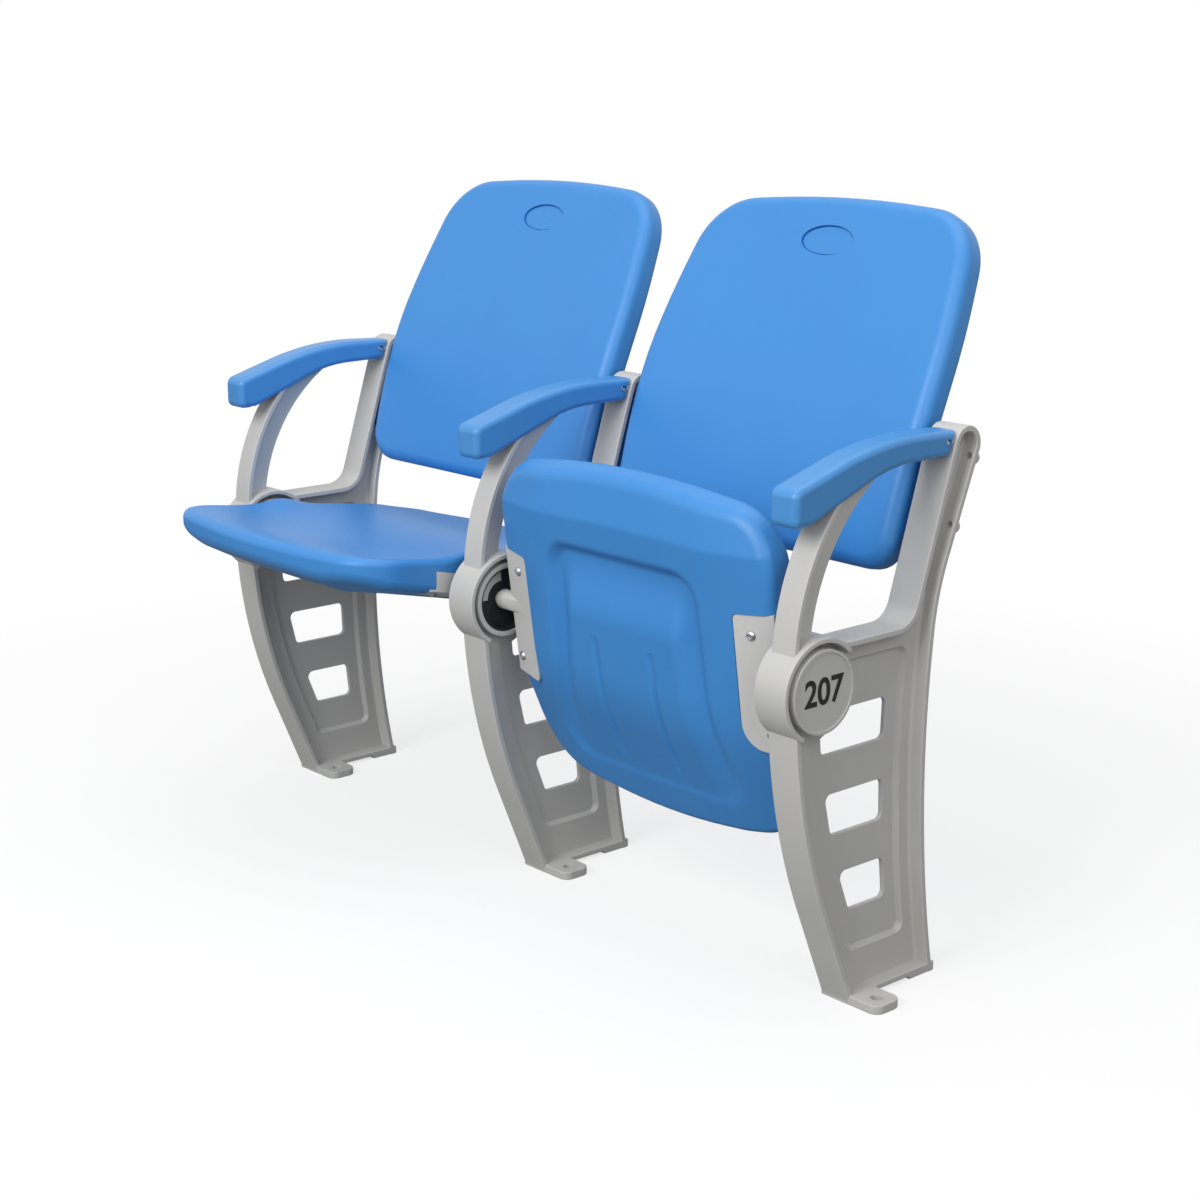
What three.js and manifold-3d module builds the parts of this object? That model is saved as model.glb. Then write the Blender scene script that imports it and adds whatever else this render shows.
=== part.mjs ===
// Stadium seat: two tip-up places in a row, carried by three cast standards.
// Millimetres, +Z up. X runs along the row, the sitter faces -Y and the floor is Z = 0.
// Pieces are drawn with Y = 0 at the front edge of the feet, side views in the (Y, Z) plane.
// The finished row is then moved so that the middle foot's front pad is centred on the origin.

import * as THREE from 'three';
import { mergeVertices } from 'three/addons/utils/BufferGeometryUtils.js';
import Module from 'manifold-3d';

const wasm = await Module();
wasm.setup();

// Row
const placeSpacing = 540;
const contactGap = 0.3;
const cutOverrun = 6;
const chordTolerance = 0.8;
const meshTolerance = 0.06;
const fewestSides = 10;
const longestRimStep = 80;
const shortestStraight = 3;
const turnedSides = 20;
const ovalSides = 32;
const grooveSteps = 5;

// Foot
const footLength = 148;
const footThickness = 11;
const reliefDepth = 4;
const reliefStart = 46;
const reliefEnd = 106;
const earReach = 64;
const earWidth = 43;
const earCornerRadius = 13;
const earHoleRadius = 7.5;
const earHoleInset = 19;

// Flanges and web of a standard
const flangeWidth = 43;
const flangeThickness = 7;
const armFlangeWidth = 34;
const webThickness = 7;

// Front line of the leg and arm loop
const frontToe = 2;
const frontReach = 98;
const legBendHeight = 246;
const legBendRadius = 720;
const loopBendHeight = 545;
const loopBendRadius = 270;
const loopEndSetback = 10;
const loopEndRise = 83;
const loopInnerRadius = 237;
const loopInnerSetback = 177;
const loopInnerDrop = 136;

// Rear line of the leg, the upright and its crown
const rearToe = 145.5;
const waistSetback = 105.3;
const waistHeight = 207.5;
const waistRadius = 1400;
const kneeDrop = 165;
const kneeRadius = 300;
const rearLeanDeg = 21.5;
const frontLeanDeg = 17.5;
const uprightSetback = 171.5;
const uprightHeight = 625;
const crownDrop = 18;
const crownRadius = 22;
const loopFloorHeight = 431;
const loopFloorRadius = 30;
const loopFloorEnd = -40;

// Sunk panel and windows of the web
const panelFrontMargin = 37;
const panelRearMargin = 24;
const panelBottom = 54;
const panelTop = 404;
const panelDepth = 7;
const panelWall = 6;
const panelDraft = 4;
const panelCornerRadius = 12;
const panelStations = 6;
const windowCount = 3;
const windowBottom = 103;
const windowHeight = 49;
const windowPitch = 97;
const windowFrontMargin = 63;
const windowRearMargin = 46;
const windowCornerRadius = 8;
const windowHubMargin = 9;

// Hub
const hubSetback = -57.5;
const hubHeight = 382.5;
const hubRadius = 60;
const hubHalfWidth = 23.5;
const shroudWall = 6;
const shroudStartDeg = 42;
const shroudEndDeg = 240;
const hubRingOuterRadius = 47.5;
const hubRingInnerRadius = 41;
const hubRingReach = 21;
const hubRingLugsDeg = [96, 222];
const hubRingLugWidthDeg = 7;
const stopInnerRadius = 24;
const stopReach = 17;
const stopStartDeg = 91;
const stopEndDeg = 180;
const stopSpaceDeg = 1;
const bushBoreRadius = 15;

// Back bolts
const backBoltOffset = 14;
const backBoltDrops = [92, 17];
const backBoltRadius = 4;
const backBoltPadRadius = 7.4;
const backBoltPadHeight = 4;
const backBoltHeadRadius = 6.5;
const backBoltHeadHeight = 5;
const backBoltReach = 20;

// Arm rest
const armWidth = 41;
const armFront = -104;
const armFrontFall = 21.8;
const armBendSetback = 37;
const armBendRise = 42.4;
const armBendRadius = 430;
const armRearInset = 20.5;
const armRearFall = 5.6;
const armFrontDepth = 40.7;
const armHeelSetback = -78;
const armHeelRadius = 14;
const armUnderBendSetback = 46;
const armUnderDrop = 35.6;
const armUnderBendRadius = 200;
const armRearDepth = 28.5;
const armNoseRadius = 9;
const armCrownThickness = 9;
const armSideWall = 3.2;
const armEdgeRound = 4;
const railFront = -86;
const railThickness = 7;
const armScrewInset = 12;
const armScrewHeadRadius = 4;
const armScrewHeadHeight = 2;
const armScrewShankRadius = 2.2;
const armScrewLength = 12;

// Back shell
const backSideGap = 27;
const backBottomTaper = 8;
const backTopTaper = 30;
const backLength = 449;
const backTopRise = 14;
const backWaist = 250;
const backBottomCornerRadius = 42;
const backSideRadius = 900;
const backTopCornerRadius = 62;
const backTopRadius = 1600;
const backThickness = 38;
const backEdgeRadius = 13;
const backRearEdgeRadius = 7;
const backHollow = 8;
const backFootSetback = 99;
const backFootHeight = 478;
const backBendSetback = 124;
const backBendHeight = 603;
const backBendRadius = 900;
const backHeadSetback = 265.5;
const backHeadHeight = 886;
const ovalHalfWidth = 38;
const ovalHalfHeight = 21;
const ovalDepth = 2;
const ovalFromTop = 58;
const wingBottomDrop = 115;
const wingTopDrop = 8.5;
const wingThickness = 14;
const wingOverlap = 38;
const wingEndGap = 5.5;

// Seat shell, drawn lowered, from the hub's axis
const seatSideGap = 38;
const seatFront = -208;
const seatFrontCorner = -178;
const seatRear = 238;
const seatRearCorner = 205;
const seatRearTaper = 5;
const seatFrontRadius = 1100;
const seatRearRadius = 700;
const seatFrontCornerRadius = 66;
const seatRearCornerRadius = 60;
const seatTopAtPivot = 46;
const seatTopFallDeg = 6.8;
const seatDish = 15;
const seatRearRim = 70;
const seatLip = 10;
const seatLipLength = 52;
const seatTopEdgeRadius = 11;
const seatBottomEdgeRadius = 14;
const seatSideLift = 19;
const seatNoseUnder = 38;
const seatUnderBendSetback = -100;
const seatUnderBendHeight = -2;
const seatUnderBendRadius = 220;
const seatHeelBendSetback = 84;
const seatHeelBendHeight = -40;
const seatHeelBendRadius = 160;
const seatHeelUnder = -36;
const pivotSwell = 9;
const pivotSwellLength = 34;
const pivotSwellWidth = 34;

// Sunk panel and grooves of the seat's underside
const pocketDepth = 9;
const pocketDraft = 12;
const pocketFront = -106;
const pocketFrontHalfWidth = 134;
const pocketWaist = 40;
const pocketWaistHalfWidth = 140;
const pocketRear = 168;
const pocketRearHalfWidth = 168;
const pocketCornerRadius = 34;
const pocketRearRadius = 34;
const grooveOffset = 37;
const grooveSpread = 16;
const grooveStart = 2;
const grooveEnd = 148;
const grooveWidth = 7;
const grooveDepth = 2.5;

// Seat brackets
const bracketThickness = 3;
const bracketDrop = 13;
const bracketFallDeg = 13.3;
const bracketFront = -76;
const bracketRear = 84;
const bracketWidth = 56;
const bracketHeight = 34;
const bracketFrontRadius = 6;
const bracketRearRadius = 34;
const bossRadius = 12.5;
const bossNoseRadius = 9;
const bossShoulder = 13;
const bossNoseStart = 10;
const bossEnd = 1;
const fingerOuterRadius = 38;
const fingerStart = 12.6;
const fingerEnd = 18;
const fingerWidthDeg = 24;
const fingerGapDeg = 0.8;
const bracketBoltRadius = 3;
const bracketBoltHeadRadius = 6;
const bracketBoltHeadHeight = 3.5;
const bracketBoltLength = 12;
const plateBoltSetbacks = [-52, 62];
const plateBoltInsets = [30, 14];
const sideBoltSetback = 58;
const sideBoltHeight = -6;

// Pivot bush and its buffer block
const bushPlateThickness = 3;
const bushCollarRadius = 20;
const bushCollarReach = 9.4;
const bushRunning = 0.25;
const bufferWidthDeg = 20;
const bufferReach = 17.6;

// Number disc
const discThickness = 8;
const discSunk = 1.5;
const discRimWidth = 3;
const discRimHeight = 0.8;

// Travel of a seat
const tipDeg = 69;

const castingColour = 0xc4c4c0;
const shellColour = 0x3f86d2;
const steelColour = 0xb4b5b4;
const boltColour = 0xa9abad;
const nylonColour = 0x1c1c1e;

// Solids

function solid(geometry) {
  const bare = geometry.clone();
  bare.deleteAttribute('normal');
  bare.deleteAttribute('uv');
  const merged = mergeVertices(bare);
  const kept = [];
  const index = merged.index.array;
  for (let i = 0; i < index.length; i += 3) {
    const [a, b, c] = [index[i], index[i + 1], index[i + 2]];
    if (a !== b && b !== c && c !== a) kept.push(a, b, c);
  }
  const vertProperties = Float32Array.from(merged.attributes.position.array);
  return new wasm.Manifold(new wasm.Mesh({ numProp: 3, vertProperties, triVerts: Uint32Array.from(kept) }));
}

function geometryOf(body) {
  const { vertProperties, triVerts } = body.simplify(meshTolerance).getMesh();
  const geometry = new THREE.BufferGeometry();
  geometry.setAttribute('position', new THREE.BufferAttribute(Float32Array.from(vertProperties), 3));
  geometry.setIndex(new THREE.BufferAttribute(Uint32Array.from(triVerts), 1));
  return geometry;
}

function join(bodies) {
  return bodies.reduce((whole, body) => whole.add(body));
}

function mirrored(geometry) {
  const copy = geometry.clone();
  copy.scale(-1, 1, 1);
  const index = copy.index.array;
  for (let i = 0; i < index.length; i += 3) [index[i], index[i + 1]] = [index[i + 1], index[i]];
  return copy;
}

// Outlines

const rad = THREE.MathUtils.degToRad;
const point = (a, b) => new THREE.Vector2(a, b);

function arcSteps(radius, sweep) {
  const step = 2 * Math.acos(1 - Math.min(chordTolerance / radius, 1));
  return Math.max(1, Math.ceil(Math.abs(sweep) / step));
}

// A path's corner, with the directions back and ahead of it and the angle that the path turns by.
function cornerOf(corners, i) {
  const count = corners.length;
  const pointAt = (k) => point(...corners[k % count].slice(0, 2));
  const [here, before, after] = [i, i + count - 1, i + 1].map(pointAt);
  const length = here.distanceTo(after);
  const back = before.sub(here).normalize();
  const ahead = after.sub(here).normalize();
  const turn = Math.PI - Math.acos(THREE.MathUtils.clamp(back.dot(ahead), -1, 1));
  return { corner: here, back, ahead, turn, length };
}

// The share of each radius that is kept, so that neighbouring arcs leave a straight on the side between them.
function radiusShares(corners, closed, straight) {
  const count = corners.length;
  const found = corners.map((_, i) => cornerOf(corners, i));
  const reaches = corners.map(([, , radius = 0], i) => {
    const isEnd = !closed && (i === 0 || i === count - 1);
    return isEnd ? 0 : radius * Math.tan(found[i].turn / 2);
  });
  return corners.map((_, i) => {
    const [last, next] = [(i + count - 1) % count, (i + 1) % count];
    return Math.min(1, (found[last].length - straight) / (reaches[last] + reaches[i]),
      (found[i].length - straight) / (reaches[i] + reaches[next]));
  });
}

// A polyline whose corners are [a, b, radius]; a corner with no radius stays sharp.
function roundedPath(corners, closed = false, straight = shortestStraight) {
  const points = [];
  const count = corners.length;
  const shares = radiusShares(corners, closed, straight);
  corners.forEach(([, , wanted = 0], i) => {
    const { corner, back, ahead, turn } = cornerOf(corners, i);
    const isEnd = !closed && (i === 0 || i === count - 1);
    if (isEnd || wanted === 0) {
      points.push(corner);
      return;
    }
    const radius = wanted * shares[i];
    const reach = radius * Math.tan(turn / 2);
    const inwards = back.clone().add(ahead).normalize();
    const centre = corner.clone().addScaledVector(inwards, radius / Math.cos(turn / 2));
    const start = corner.clone().addScaledVector(back, reach).sub(centre);
    const sense = Math.sign(back.cross(ahead)) || 1;
    const steps = arcSteps(radius, turn);
    for (let k = 0; k <= steps; k += 1) {
      points.push(start.clone().rotateAround(point(0, 0), (-sense * turn * k) / steps).add(centre));
    }
  });
  return points;
}

// The path moved to its left by the given distance.
function offsetPath(points, distance, closed = false) {
  const count = points.length;
  return points.map((here, i) => {
    const before = closed ? points[(i + count - 1) % count] : points[Math.max(i - 1, 0)];
    const after = closed ? points[(i + 1) % count] : points[Math.min(i + 1, count - 1)];
    const inward = here.clone().sub(before);
    const outward = after.clone().sub(here);
    const first = inward.lengthSq() > 0 ? inward.normalize() : outward.clone().normalize();
    const second = outward.lengthSq() > 0 ? outward.normalize() : first.clone();
    const mean = first.clone().add(second).normalize();
    const stretch = 1 / Math.max(mean.dot(first), 0.5);
    return here.clone().add(point(-mean.y, mean.x).multiplyScalar(distance * stretch));
  });
}

function stripShape(points, thickness) {
  return new THREE.Shape([...points, ...offsetPath(points, thickness).reverse()]);
}

function arcPoints(a, b, radius, startDeg, endDeg) {
  const steps = arcSteps(radius, rad(Math.abs(endDeg - startDeg)));
  return Array.from({ length: steps + 1 }, (_, k) => {
    const angle = rad(startDeg + ((endDeg - startDeg) * k) / steps);
    return point(a + radius * Math.cos(angle), b + radius * Math.sin(angle));
  });
}

function sectorShape(innerRadius, outerRadius, startDeg, endDeg) {
  const inner = arcPoints(0, 0, innerRadius, endDeg, startDeg);
  return new THREE.Shape([...arcPoints(0, 0, outerRadius, startDeg, endDeg), ...inner]);
}

// A side-view shape, pushed along X from one plane to another.
function across(shape, from, to) {
  const geometry = new THREE.ExtrudeGeometry(shape, { depth: to - from, bevelEnabled: false });
  const sideView = new THREE.Matrix4().makeBasis(
    new THREE.Vector3(0, 1, 0),
    new THREE.Vector3(0, 0, 1),
    new THREE.Vector3(1, 0, 0),
  );
  geometry.applyMatrix4(sideView);
  geometry.translate(from, 0, 0);
  return solid(geometry);
}

// A cylinder or ring round a line parallel to X.
function drum(radius, from, to, y = 0, z = 0) {
  const segments = Math.max(arcSteps(radius, 2 * Math.PI), fewestSides);
  const geometry = new THREE.CylinderGeometry(radius, radius, to - from, segments);
  geometry.rotateZ(Math.PI / 2);
  geometry.translate((from + to) / 2, y, z);
  return solid(geometry);
}

function turned(profile, segments) {
  return solid(new THREE.LatheGeometry(profile.map(([r, h]) => point(r, h)), segments));
}

// A body through rings of equally many points, closed at both ends.
function loft(rings, flatten) {
  const count = rings[0].length;
  const positions = rings.flat().flatMap((p) => [p.x, p.y, p.z]);
  const triangles = [];
  for (let r = 0; r < rings.length - 1; r += 1) {
    for (let i = 0; i < count; i += 1) {
      const a = r * count + i;
      const b = r * count + ((i + 1) % count);
      triangles.push([a, b, b + count], [a, b + count, a + count]);
    }
  }
  const firstCap = THREE.ShapeUtils.triangulateShape(rings[0].map(flatten), []);
  const lastCap = THREE.ShapeUtils.triangulateShape(rings[rings.length - 1].map(flatten), []);
  const lastBase = (rings.length - 1) * count;
  const spun = THREE.ShapeUtils.isClockWise(rings[0].map(flatten));
  for (const [a, b, c] of firstCap) triangles.push(spun ? [a, b, c] : [c, b, a]);
  for (const corners of lastCap) {
    const [a, b, c] = corners.map((corner) => lastBase + corner);
    triangles.push(spun ? [c, b, a] : [a, b, c]);
  }
  const geometry = new THREE.BufferGeometry();
  geometry.setAttribute('position', new THREE.Float32BufferAttribute(positions, 3));
  geometry.setIndex(triangles.flat());
  return solid(signedVolume(geometry) < 0 ? flipped(geometry) : geometry);
}

function signedVolume(geometry) {
  const { index, attributes } = geometry;
  const at = (i) => new THREE.Vector3().fromBufferAttribute(attributes.position, index.array[i]);
  let sum = 0;
  for (let i = 0; i < index.count; i += 3) sum += at(i).dot(at(i + 1).cross(at(i + 2)));
  return sum;
}

function flipped(geometry) {
  const index = Array.from(geometry.index.array);
  for (let i = 0; i < index.length; i += 3) [index[i], index[i + 1]] = [index[i + 1], index[i]];
  geometry.setIndex(index);
  return geometry;
}

// Heights along a side-view path, by linear steps between its points.
function heightAlong(points, key, value) {
  return (at) => {
    let i = 1;
    while (i < points.length - 1 && points[i][key] < at) i += 1;
    const [low, high] = [points[i - 1], points[i]];
    return THREE.MathUtils.mapLinear(at, low[key], high[key], low[value], high[value]);
  };
}

// Standard

const hubCentre = [hubSetback, hubHeight];

// The arm rest, the crown, the knee and the back bolts follow the loop's height.
const loopEndHeight = loopBendHeight + loopEndRise;
const armFrontTop = loopEndHeight - armFrontFall;
const armBendHeight = armFrontTop + armBendRise;
const armRearTop = armBendHeight - armRearFall;
const crownHeight = armRearTop - crownDrop;
const kneeHeight = crownHeight - kneeDrop;
const crownSetback = uprightSetback + Math.tan(rad(rearLeanDeg)) * (crownHeight - uprightHeight);
const armRear = crownSetback - armRearInset;
const armScrewSetback = armRear - armScrewInset;
const backBoltHeights = backBoltDrops.map((drop) => crownHeight - drop);

// Both lines are drawn on below the floor and trimmed there.
function toePoint(toe, bendSetback, bendHeight) {
  return [toe + ((toe - bendSetback) * footThickness) / bendHeight, -footThickness];
}

const frontLine = roundedPath([
  toePoint(frontToe, -frontReach, legBendHeight),
  [-frontReach, legBendHeight, legBendRadius],
  [-frontReach, loopBendHeight, loopBendRadius],
  [loopEndSetback, loopEndHeight],
]);
const crownArc = arcPoints(crownSetback, crownHeight, crownRadius, -rearLeanDeg, 180 - frontLeanDeg);
const [crownRear, crownFront] = [crownArc[0], crownArc[crownArc.length - 1]];
const kneeSetback = crownRear.x - Math.tan(rad(rearLeanDeg)) * (crownRear.y - kneeHeight);
const loopFloorSetback = crownFront.x - Math.tan(rad(frontLeanDeg)) * (crownFront.y - loopFloorHeight);
const rearLine = [
  ...roundedPath([
    toePoint(rearToe, waistSetback, waistHeight),
    [waistSetback, waistHeight, waistRadius],
    [kneeSetback, kneeHeight, kneeRadius],
    [crownRear.x, crownRear.y],
  ]),
  ...crownArc.slice(1, -1),
  ...roundedPath([
    [crownFront.x, crownFront.y],
    [loopFloorSetback, loopFloorHeight, loopFloorRadius],
    [loopFloorEnd, loopFloorHeight],
  ]),
];
const legFrontAt = heightAlong(frontLine, 'y', 'x');
const uprightFrontAt = (z) => loopFloorSetback + Math.tan(rad(frontLeanDeg)) * (z - loopFloorHeight);
const legRearAt = heightAlong(rearLine.filter((p) => p.y < kneeHeight && p.x > waistSetback), 'y', 'x');
const armTopLine = roundedPath([
  [armFront, armFrontTop],
  [armBendSetback, armBendHeight, armBendRadius],
  [armRear, armRearTop],
]);
const armTopAt = heightAlong(armTopLine, 'x', 'y');
const railDrop = armCrownThickness + contactGap;

// The loop's flange is drawn on past the rail and trimmed by it.
function loopTail() {
  const end = frontLine[frontLine.length - 1];
  const slope = end.clone().sub(point(-frontReach, loopBendHeight)).normalize();
  return end.clone().addScaledVector(slope, railDrop + railThickness);
}

function railLine(rear) {
  const inner = armTopLine.filter((p) => p.x > railFront && p.x < rear);
  const ends = [railFront, rear].map((y) => point(y, armTopAt(y)));
  return [ends[0], ...inner, ends[1]].map((p) => point(p.x, p.y - railDrop));
}

function footPlate() {
  const profile = new THREE.Shape([
    point(0, 0),
    point(reliefStart, 0),
    point(reliefStart + reliefDepth, reliefDepth),
    point(reliefEnd - reliefDepth, reliefDepth),
    point(reliefEnd, 0),
    point(footLength, 0),
    point(footLength, footThickness),
    point(0, footThickness),
  ]);
  return across(profile, -flangeWidth / 2, flangeWidth / 2);
}

// Ear in plan: at the front on +X and at the rear on -X.
function footEar(side) {
  const nearEdge = side > 0 ? 0 : footLength - earWidth;
  const farEdge = nearEdge + earWidth;
  const outline = roundedPath([
    [0, nearEdge],
    [earReach, nearEdge, earCornerRadius],
    [earReach, farEdge, earCornerRadius],
    [0, farEdge],
  ], true);
  const plate = new THREE.ExtrudeGeometry(new THREE.Shape(outline), {
    depth: footThickness,
    bevelEnabled: false,
  });
  const hole = new THREE.CylinderGeometry(earHoleRadius, earHoleRadius, footThickness + 2 * cutOverrun,
    fewestSides);
  hole.rotateX(Math.PI / 2);
  hole.translate(earReach - earHoleInset, nearEdge + earWidth / 2, footThickness / 2);
  const geometry = geometryOf(solid(plate).subtract(solid(hole)));
  return solid(side > 0 ? geometry : mirrored(geometry));
}

function webOutline() {
  const frontPart = frontLine.map((p) => point(p.x, p.y));
  const rail = railLine(armRear).filter((p) => p.x > loopEndSetback);
  const crownIndex = rearLine.findIndex((p) => p.y === Math.max(...rearLine.map((q) => q.y)));
  const rearPart = rearLine.slice(0, crownIndex + 1).reverse();
  return new THREE.Shape([...frontPart, ...rail, ...rearPart]);
}

// The D-shaped opening between loop and upright.
function loopOpening() {
  const railUnder = (y) => armTopAt(y) - railDrop - railThickness;
  const isOpen = (p) => p.y > loopFloorHeight && p.y < railUnder(Math.min(p.x, armRear))
    && p.x < uprightFrontAt(p.y);
  const arc = arcPoints(loopInnerSetback, loopBendHeight - loopInnerDrop, loopInnerRadius, 180, 90)
    .filter(isOpen);
  const belowCrown = rearLine.slice(rearLine.indexOf(crownArc[1]) + crownArc.length - 1);
  const edge = belowCrown.filter((p) => p.x > arc[0].x);
  const top = uprightTopPoint(railUnder);
  const floor = point(arc[0].x, loopFloorHeight);
  const rail = armTopLine.map((p) => point(p.x, railUnder(p.x)))
    .filter((p) => p.x > arc[arc.length - 1].x + cutOverrun && p.x < top.x - cutOverrun);
  return new THREE.Shape([floor, ...arc, ...rail, top, ...edge]);
}

// Where the upright's front face meets the underside of the rail.
function uprightTopPoint(railUnder) {
  const height = railUnder(armRear);
  return point(uprightFrontAt(height), height);
}

function panelLoop(inset) {
  const loop = [];
  for (let k = 0; k <= panelStations; k += 1) {
    const z = THREE.MathUtils.mapLinear(k, 0, panelStations, panelBottom, panelTop);
    loop.push([legRearAt(z) - panelRearMargin, z, k === 0 || k === panelStations ? panelCornerRadius : 0]);
  }
  for (let k = panelStations; k >= 0; k -= 1) {
    const z = THREE.MathUtils.mapLinear(k, 0, panelStations, panelBottom, panelTop);
    loop.push([legFrontAt(z) + panelFrontMargin, z, k === 0 || k === panelStations ? panelCornerRadius : 0]);
  }
  return offsetPath(roundedPath(loop, true), inset, true);
}

function panelSolid(innerInset, outerInset, from, to) {
  const place = (loop, x) => loop.map((p) => new THREE.Vector3(x, p.x, p.y));
  return loft([place(panelLoop(innerInset), from), place(panelLoop(outerInset), to)], (p) => point(p.y, p.z));
}

function webWindow(number) {
  const bottom = windowBottom + number * windowPitch;
  const top = bottom + windowHeight;
  const outline = roundedPath([
    [legFrontAt(bottom) + windowFrontMargin, bottom, windowCornerRadius],
    [legRearAt(bottom) - windowRearMargin, bottom, windowCornerRadius],
    [legRearAt(top) - windowRearMargin, top, windowCornerRadius],
    [legFrontAt(top) + windowFrontMargin, top, windowCornerRadius],
  ], true);
  const keep = drum(hubRadius + windowHubMargin, -hubHalfWidth, hubHalfWidth, ...hubCentre);
  return across(new THREE.Shape(outline), -hubHalfWidth, hubHalfWidth).subtract(keep);
}

function hubSector(innerRadius, outerRadius, startDeg, endDeg, from, to) {
  const sector = sectorShape(innerRadius, outerRadius, startDeg, endDeg);
  return across(sector, from, to).translate([0, ...hubCentre]);
}

function hubBody() {
  const ring = drum(hubRingOuterRadius, -hubRingReach, hubRingReach, ...hubCentre)
    .subtract(drum(hubRingInnerRadius, -hubHalfWidth, -webThickness / 2, ...hubCentre))
    .subtract(drum(hubRingInnerRadius, webThickness / 2, hubHalfWidth, ...hubCentre));
  const shroudInner = hubRadius - shroudWall;
  const shroud = hubSector(shroudInner, hubRadius, shroudStartDeg, shroudEndDeg, -hubHalfWidth, hubHalfWidth);
  const lugs = hubRingLugsDeg.map((angle) => hubSector(
    hubRingOuterRadius - shroudWall / 2,
    shroudInner + shroudWall / 2,
    angle - hubRingLugWidthDeg / 2,
    angle + hubRingLugWidthDeg / 2,
    -stopReach,
    stopReach,
  ));
  const stop = hubSector(stopInnerRadius, hubRingInnerRadius + shroudWall / 2, stopStartDeg, stopEndDeg,
    -stopReach, stopReach);
  return join([ring, shroud, ...lugs, stop]);
}

// A back bolt's place on the rear flange, with the flange's outward direction.
const rearward = new THREE.Vector3(0, Math.cos(rad(rearLeanDeg)), -Math.sin(rad(rearLeanDeg)));

function backBoltSeat(height, x) {
  return new THREE.Vector3(x, kneeSetback + Math.tan(rad(rearLeanDeg)) * (height - kneeHeight), height);
}

function rod(radius, start, direction, length) {
  const geometry = new THREE.CylinderGeometry(radius, radius, length, fewestSides);
  geometry.translate(0, length / 2, 0);
  geometry.applyQuaternion(new THREE.Quaternion().setFromUnitVectors(new THREE.Vector3(0, 1, 0), direction));
  geometry.translate(start.x, start.y, start.z);
  return solid(geometry);
}

function standardGeometry() {
  const hubLevel = frontLine.filter((p) => p.y < hubHeight);
  const loopPart = frontLine.filter((p) => p.y > hubHeight);
  const web = across(webOutline(), -webThickness / 2, webThickness / 2);
  const tongue = new THREE.Shape([
    ...railLine(loopEndSetback),
    ...frontLine.filter((p) => p.y > loopBendHeight && p.x > railFront && p.x < loopEndSetback).reverse(),
  ]);
  const leg = across(stripShape([...hubLevel, point(-frontReach, hubHeight)], -flangeThickness),
    -flangeWidth / 2, flangeWidth / 2);
  const aboveRail = across(stripShape(railLine(armRear), flangeWidth), -flangeWidth / 2, flangeWidth / 2);
  const loopLine = [point(-frontReach, hubHeight), ...loopPart.slice(0, -1), loopTail()];
  const loop = across(stripShape(loopLine, -flangeThickness), -armFlangeWidth / 2, armFlangeWidth / 2)
    .subtract(aboveRail);
  const rear = across(stripShape(rearLine, flangeThickness), -flangeWidth / 2, flangeWidth / 2);
  const rail = across(stripShape(railLine(armRear + flangeThickness / 2), -railThickness),
    -armFlangeWidth / 2, armFlangeWidth / 2);
  const bulge = panelSolid(panelDraft - panelWall, -panelWall, -webThickness / 2 - panelWall, 0);
  const sunk = panelSolid(panelDraft, 0, webThickness / 2 - panelDepth, webThickness / 2 + contactGap);
  const hubSpace = drum(hubRadius - shroudWall / 2, -flangeWidth, flangeWidth, ...hubCentre);
  const hubFloor = drum(hubRadius, -webThickness / 2 - panelWall, webThickness / 2, ...hubCentre)
    .subtract(drum(hubRingInnerRadius, -hubHalfWidth, -webThickness / 2, ...hubCentre));
  const sides = [-1, 1];
  const boltPlaces = sides.flatMap((s) => backBoltHeights.map((h) => backBoltSeat(h, s * backBoltOffset)));
  const padStart = (p) => p.clone().addScaledVector(rearward, -flangeThickness / 2);
  const pads = boltPlaces.map((p) => rod(backBoltPadRadius, padStart(p), rearward,
    flangeThickness / 2 + backBoltPadHeight));
  const holeStart = (p) => p.clone().addScaledVector(rearward, -flangeThickness - cutOverrun);
  const holes = boltPlaces.map((p) => rod(backBoltRadius + contactGap, holeStart(p), rearward,
    flangeThickness + backBoltPadHeight + 2 * cutOverrun));
  const screwHole = drum(armScrewShankRadius + contactGap,
    armFlangeWidth / 2 - armScrewLength, flangeWidth, armScrewSetback, armScrewHeight());
  let body = join([web, across(tongue, -webThickness / 2, webThickness / 2), leg, loop, rear, rail, bulge]);
  body = body.subtract(across(loopOpening(), -flangeWidth, flangeWidth).subtract(loopKeep()));
  body = body.subtract(sunk.subtract(hubSpace));
  body = body.subtract(hubSpace).add(hubFloor).add(hubBody());
  for (let i = 0; i < windowCount; i += 1) body = body.subtract(webWindow(i));
  body = join([body, footPlate(), footEar(1), footEar(-1), ...pads]);
  body = body.subtract(drum(bushBoreRadius, -webThickness, webThickness, ...hubCentre));
  body = body.subtract(join([...holes, screwHole]));
  return geometryOf(trimmedAtFloor(body));
}

// The strips that frame the opening stay whole when the web is opened.
function loopKeep() {
  const rear = across(stripShape(rearLine, flangeThickness), -flangeWidth / 2, flangeWidth / 2);
  const loop = across(stripShape([...frontLine.slice(0, -1), loopTail()], -flangeThickness),
    -armFlangeWidth / 2, armFlangeWidth / 2);
  return rear.add(loop);
}

function trimmedAtFloor(body) {
  const below = new THREE.BoxGeometry(placeSpacing, placeSpacing, flangeWidth);
  below.translate(0, 0, -flangeWidth / 2);
  return body.subtract(solid(below));
}

function armScrewHeight() {
  return armTopAt(armScrewSetback) - railDrop - railThickness / 2;
}

// Arm rest

const armFrontBottom = armFrontTop - armFrontDepth;
const armRearBottom = armRearTop - armRearDepth;

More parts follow.
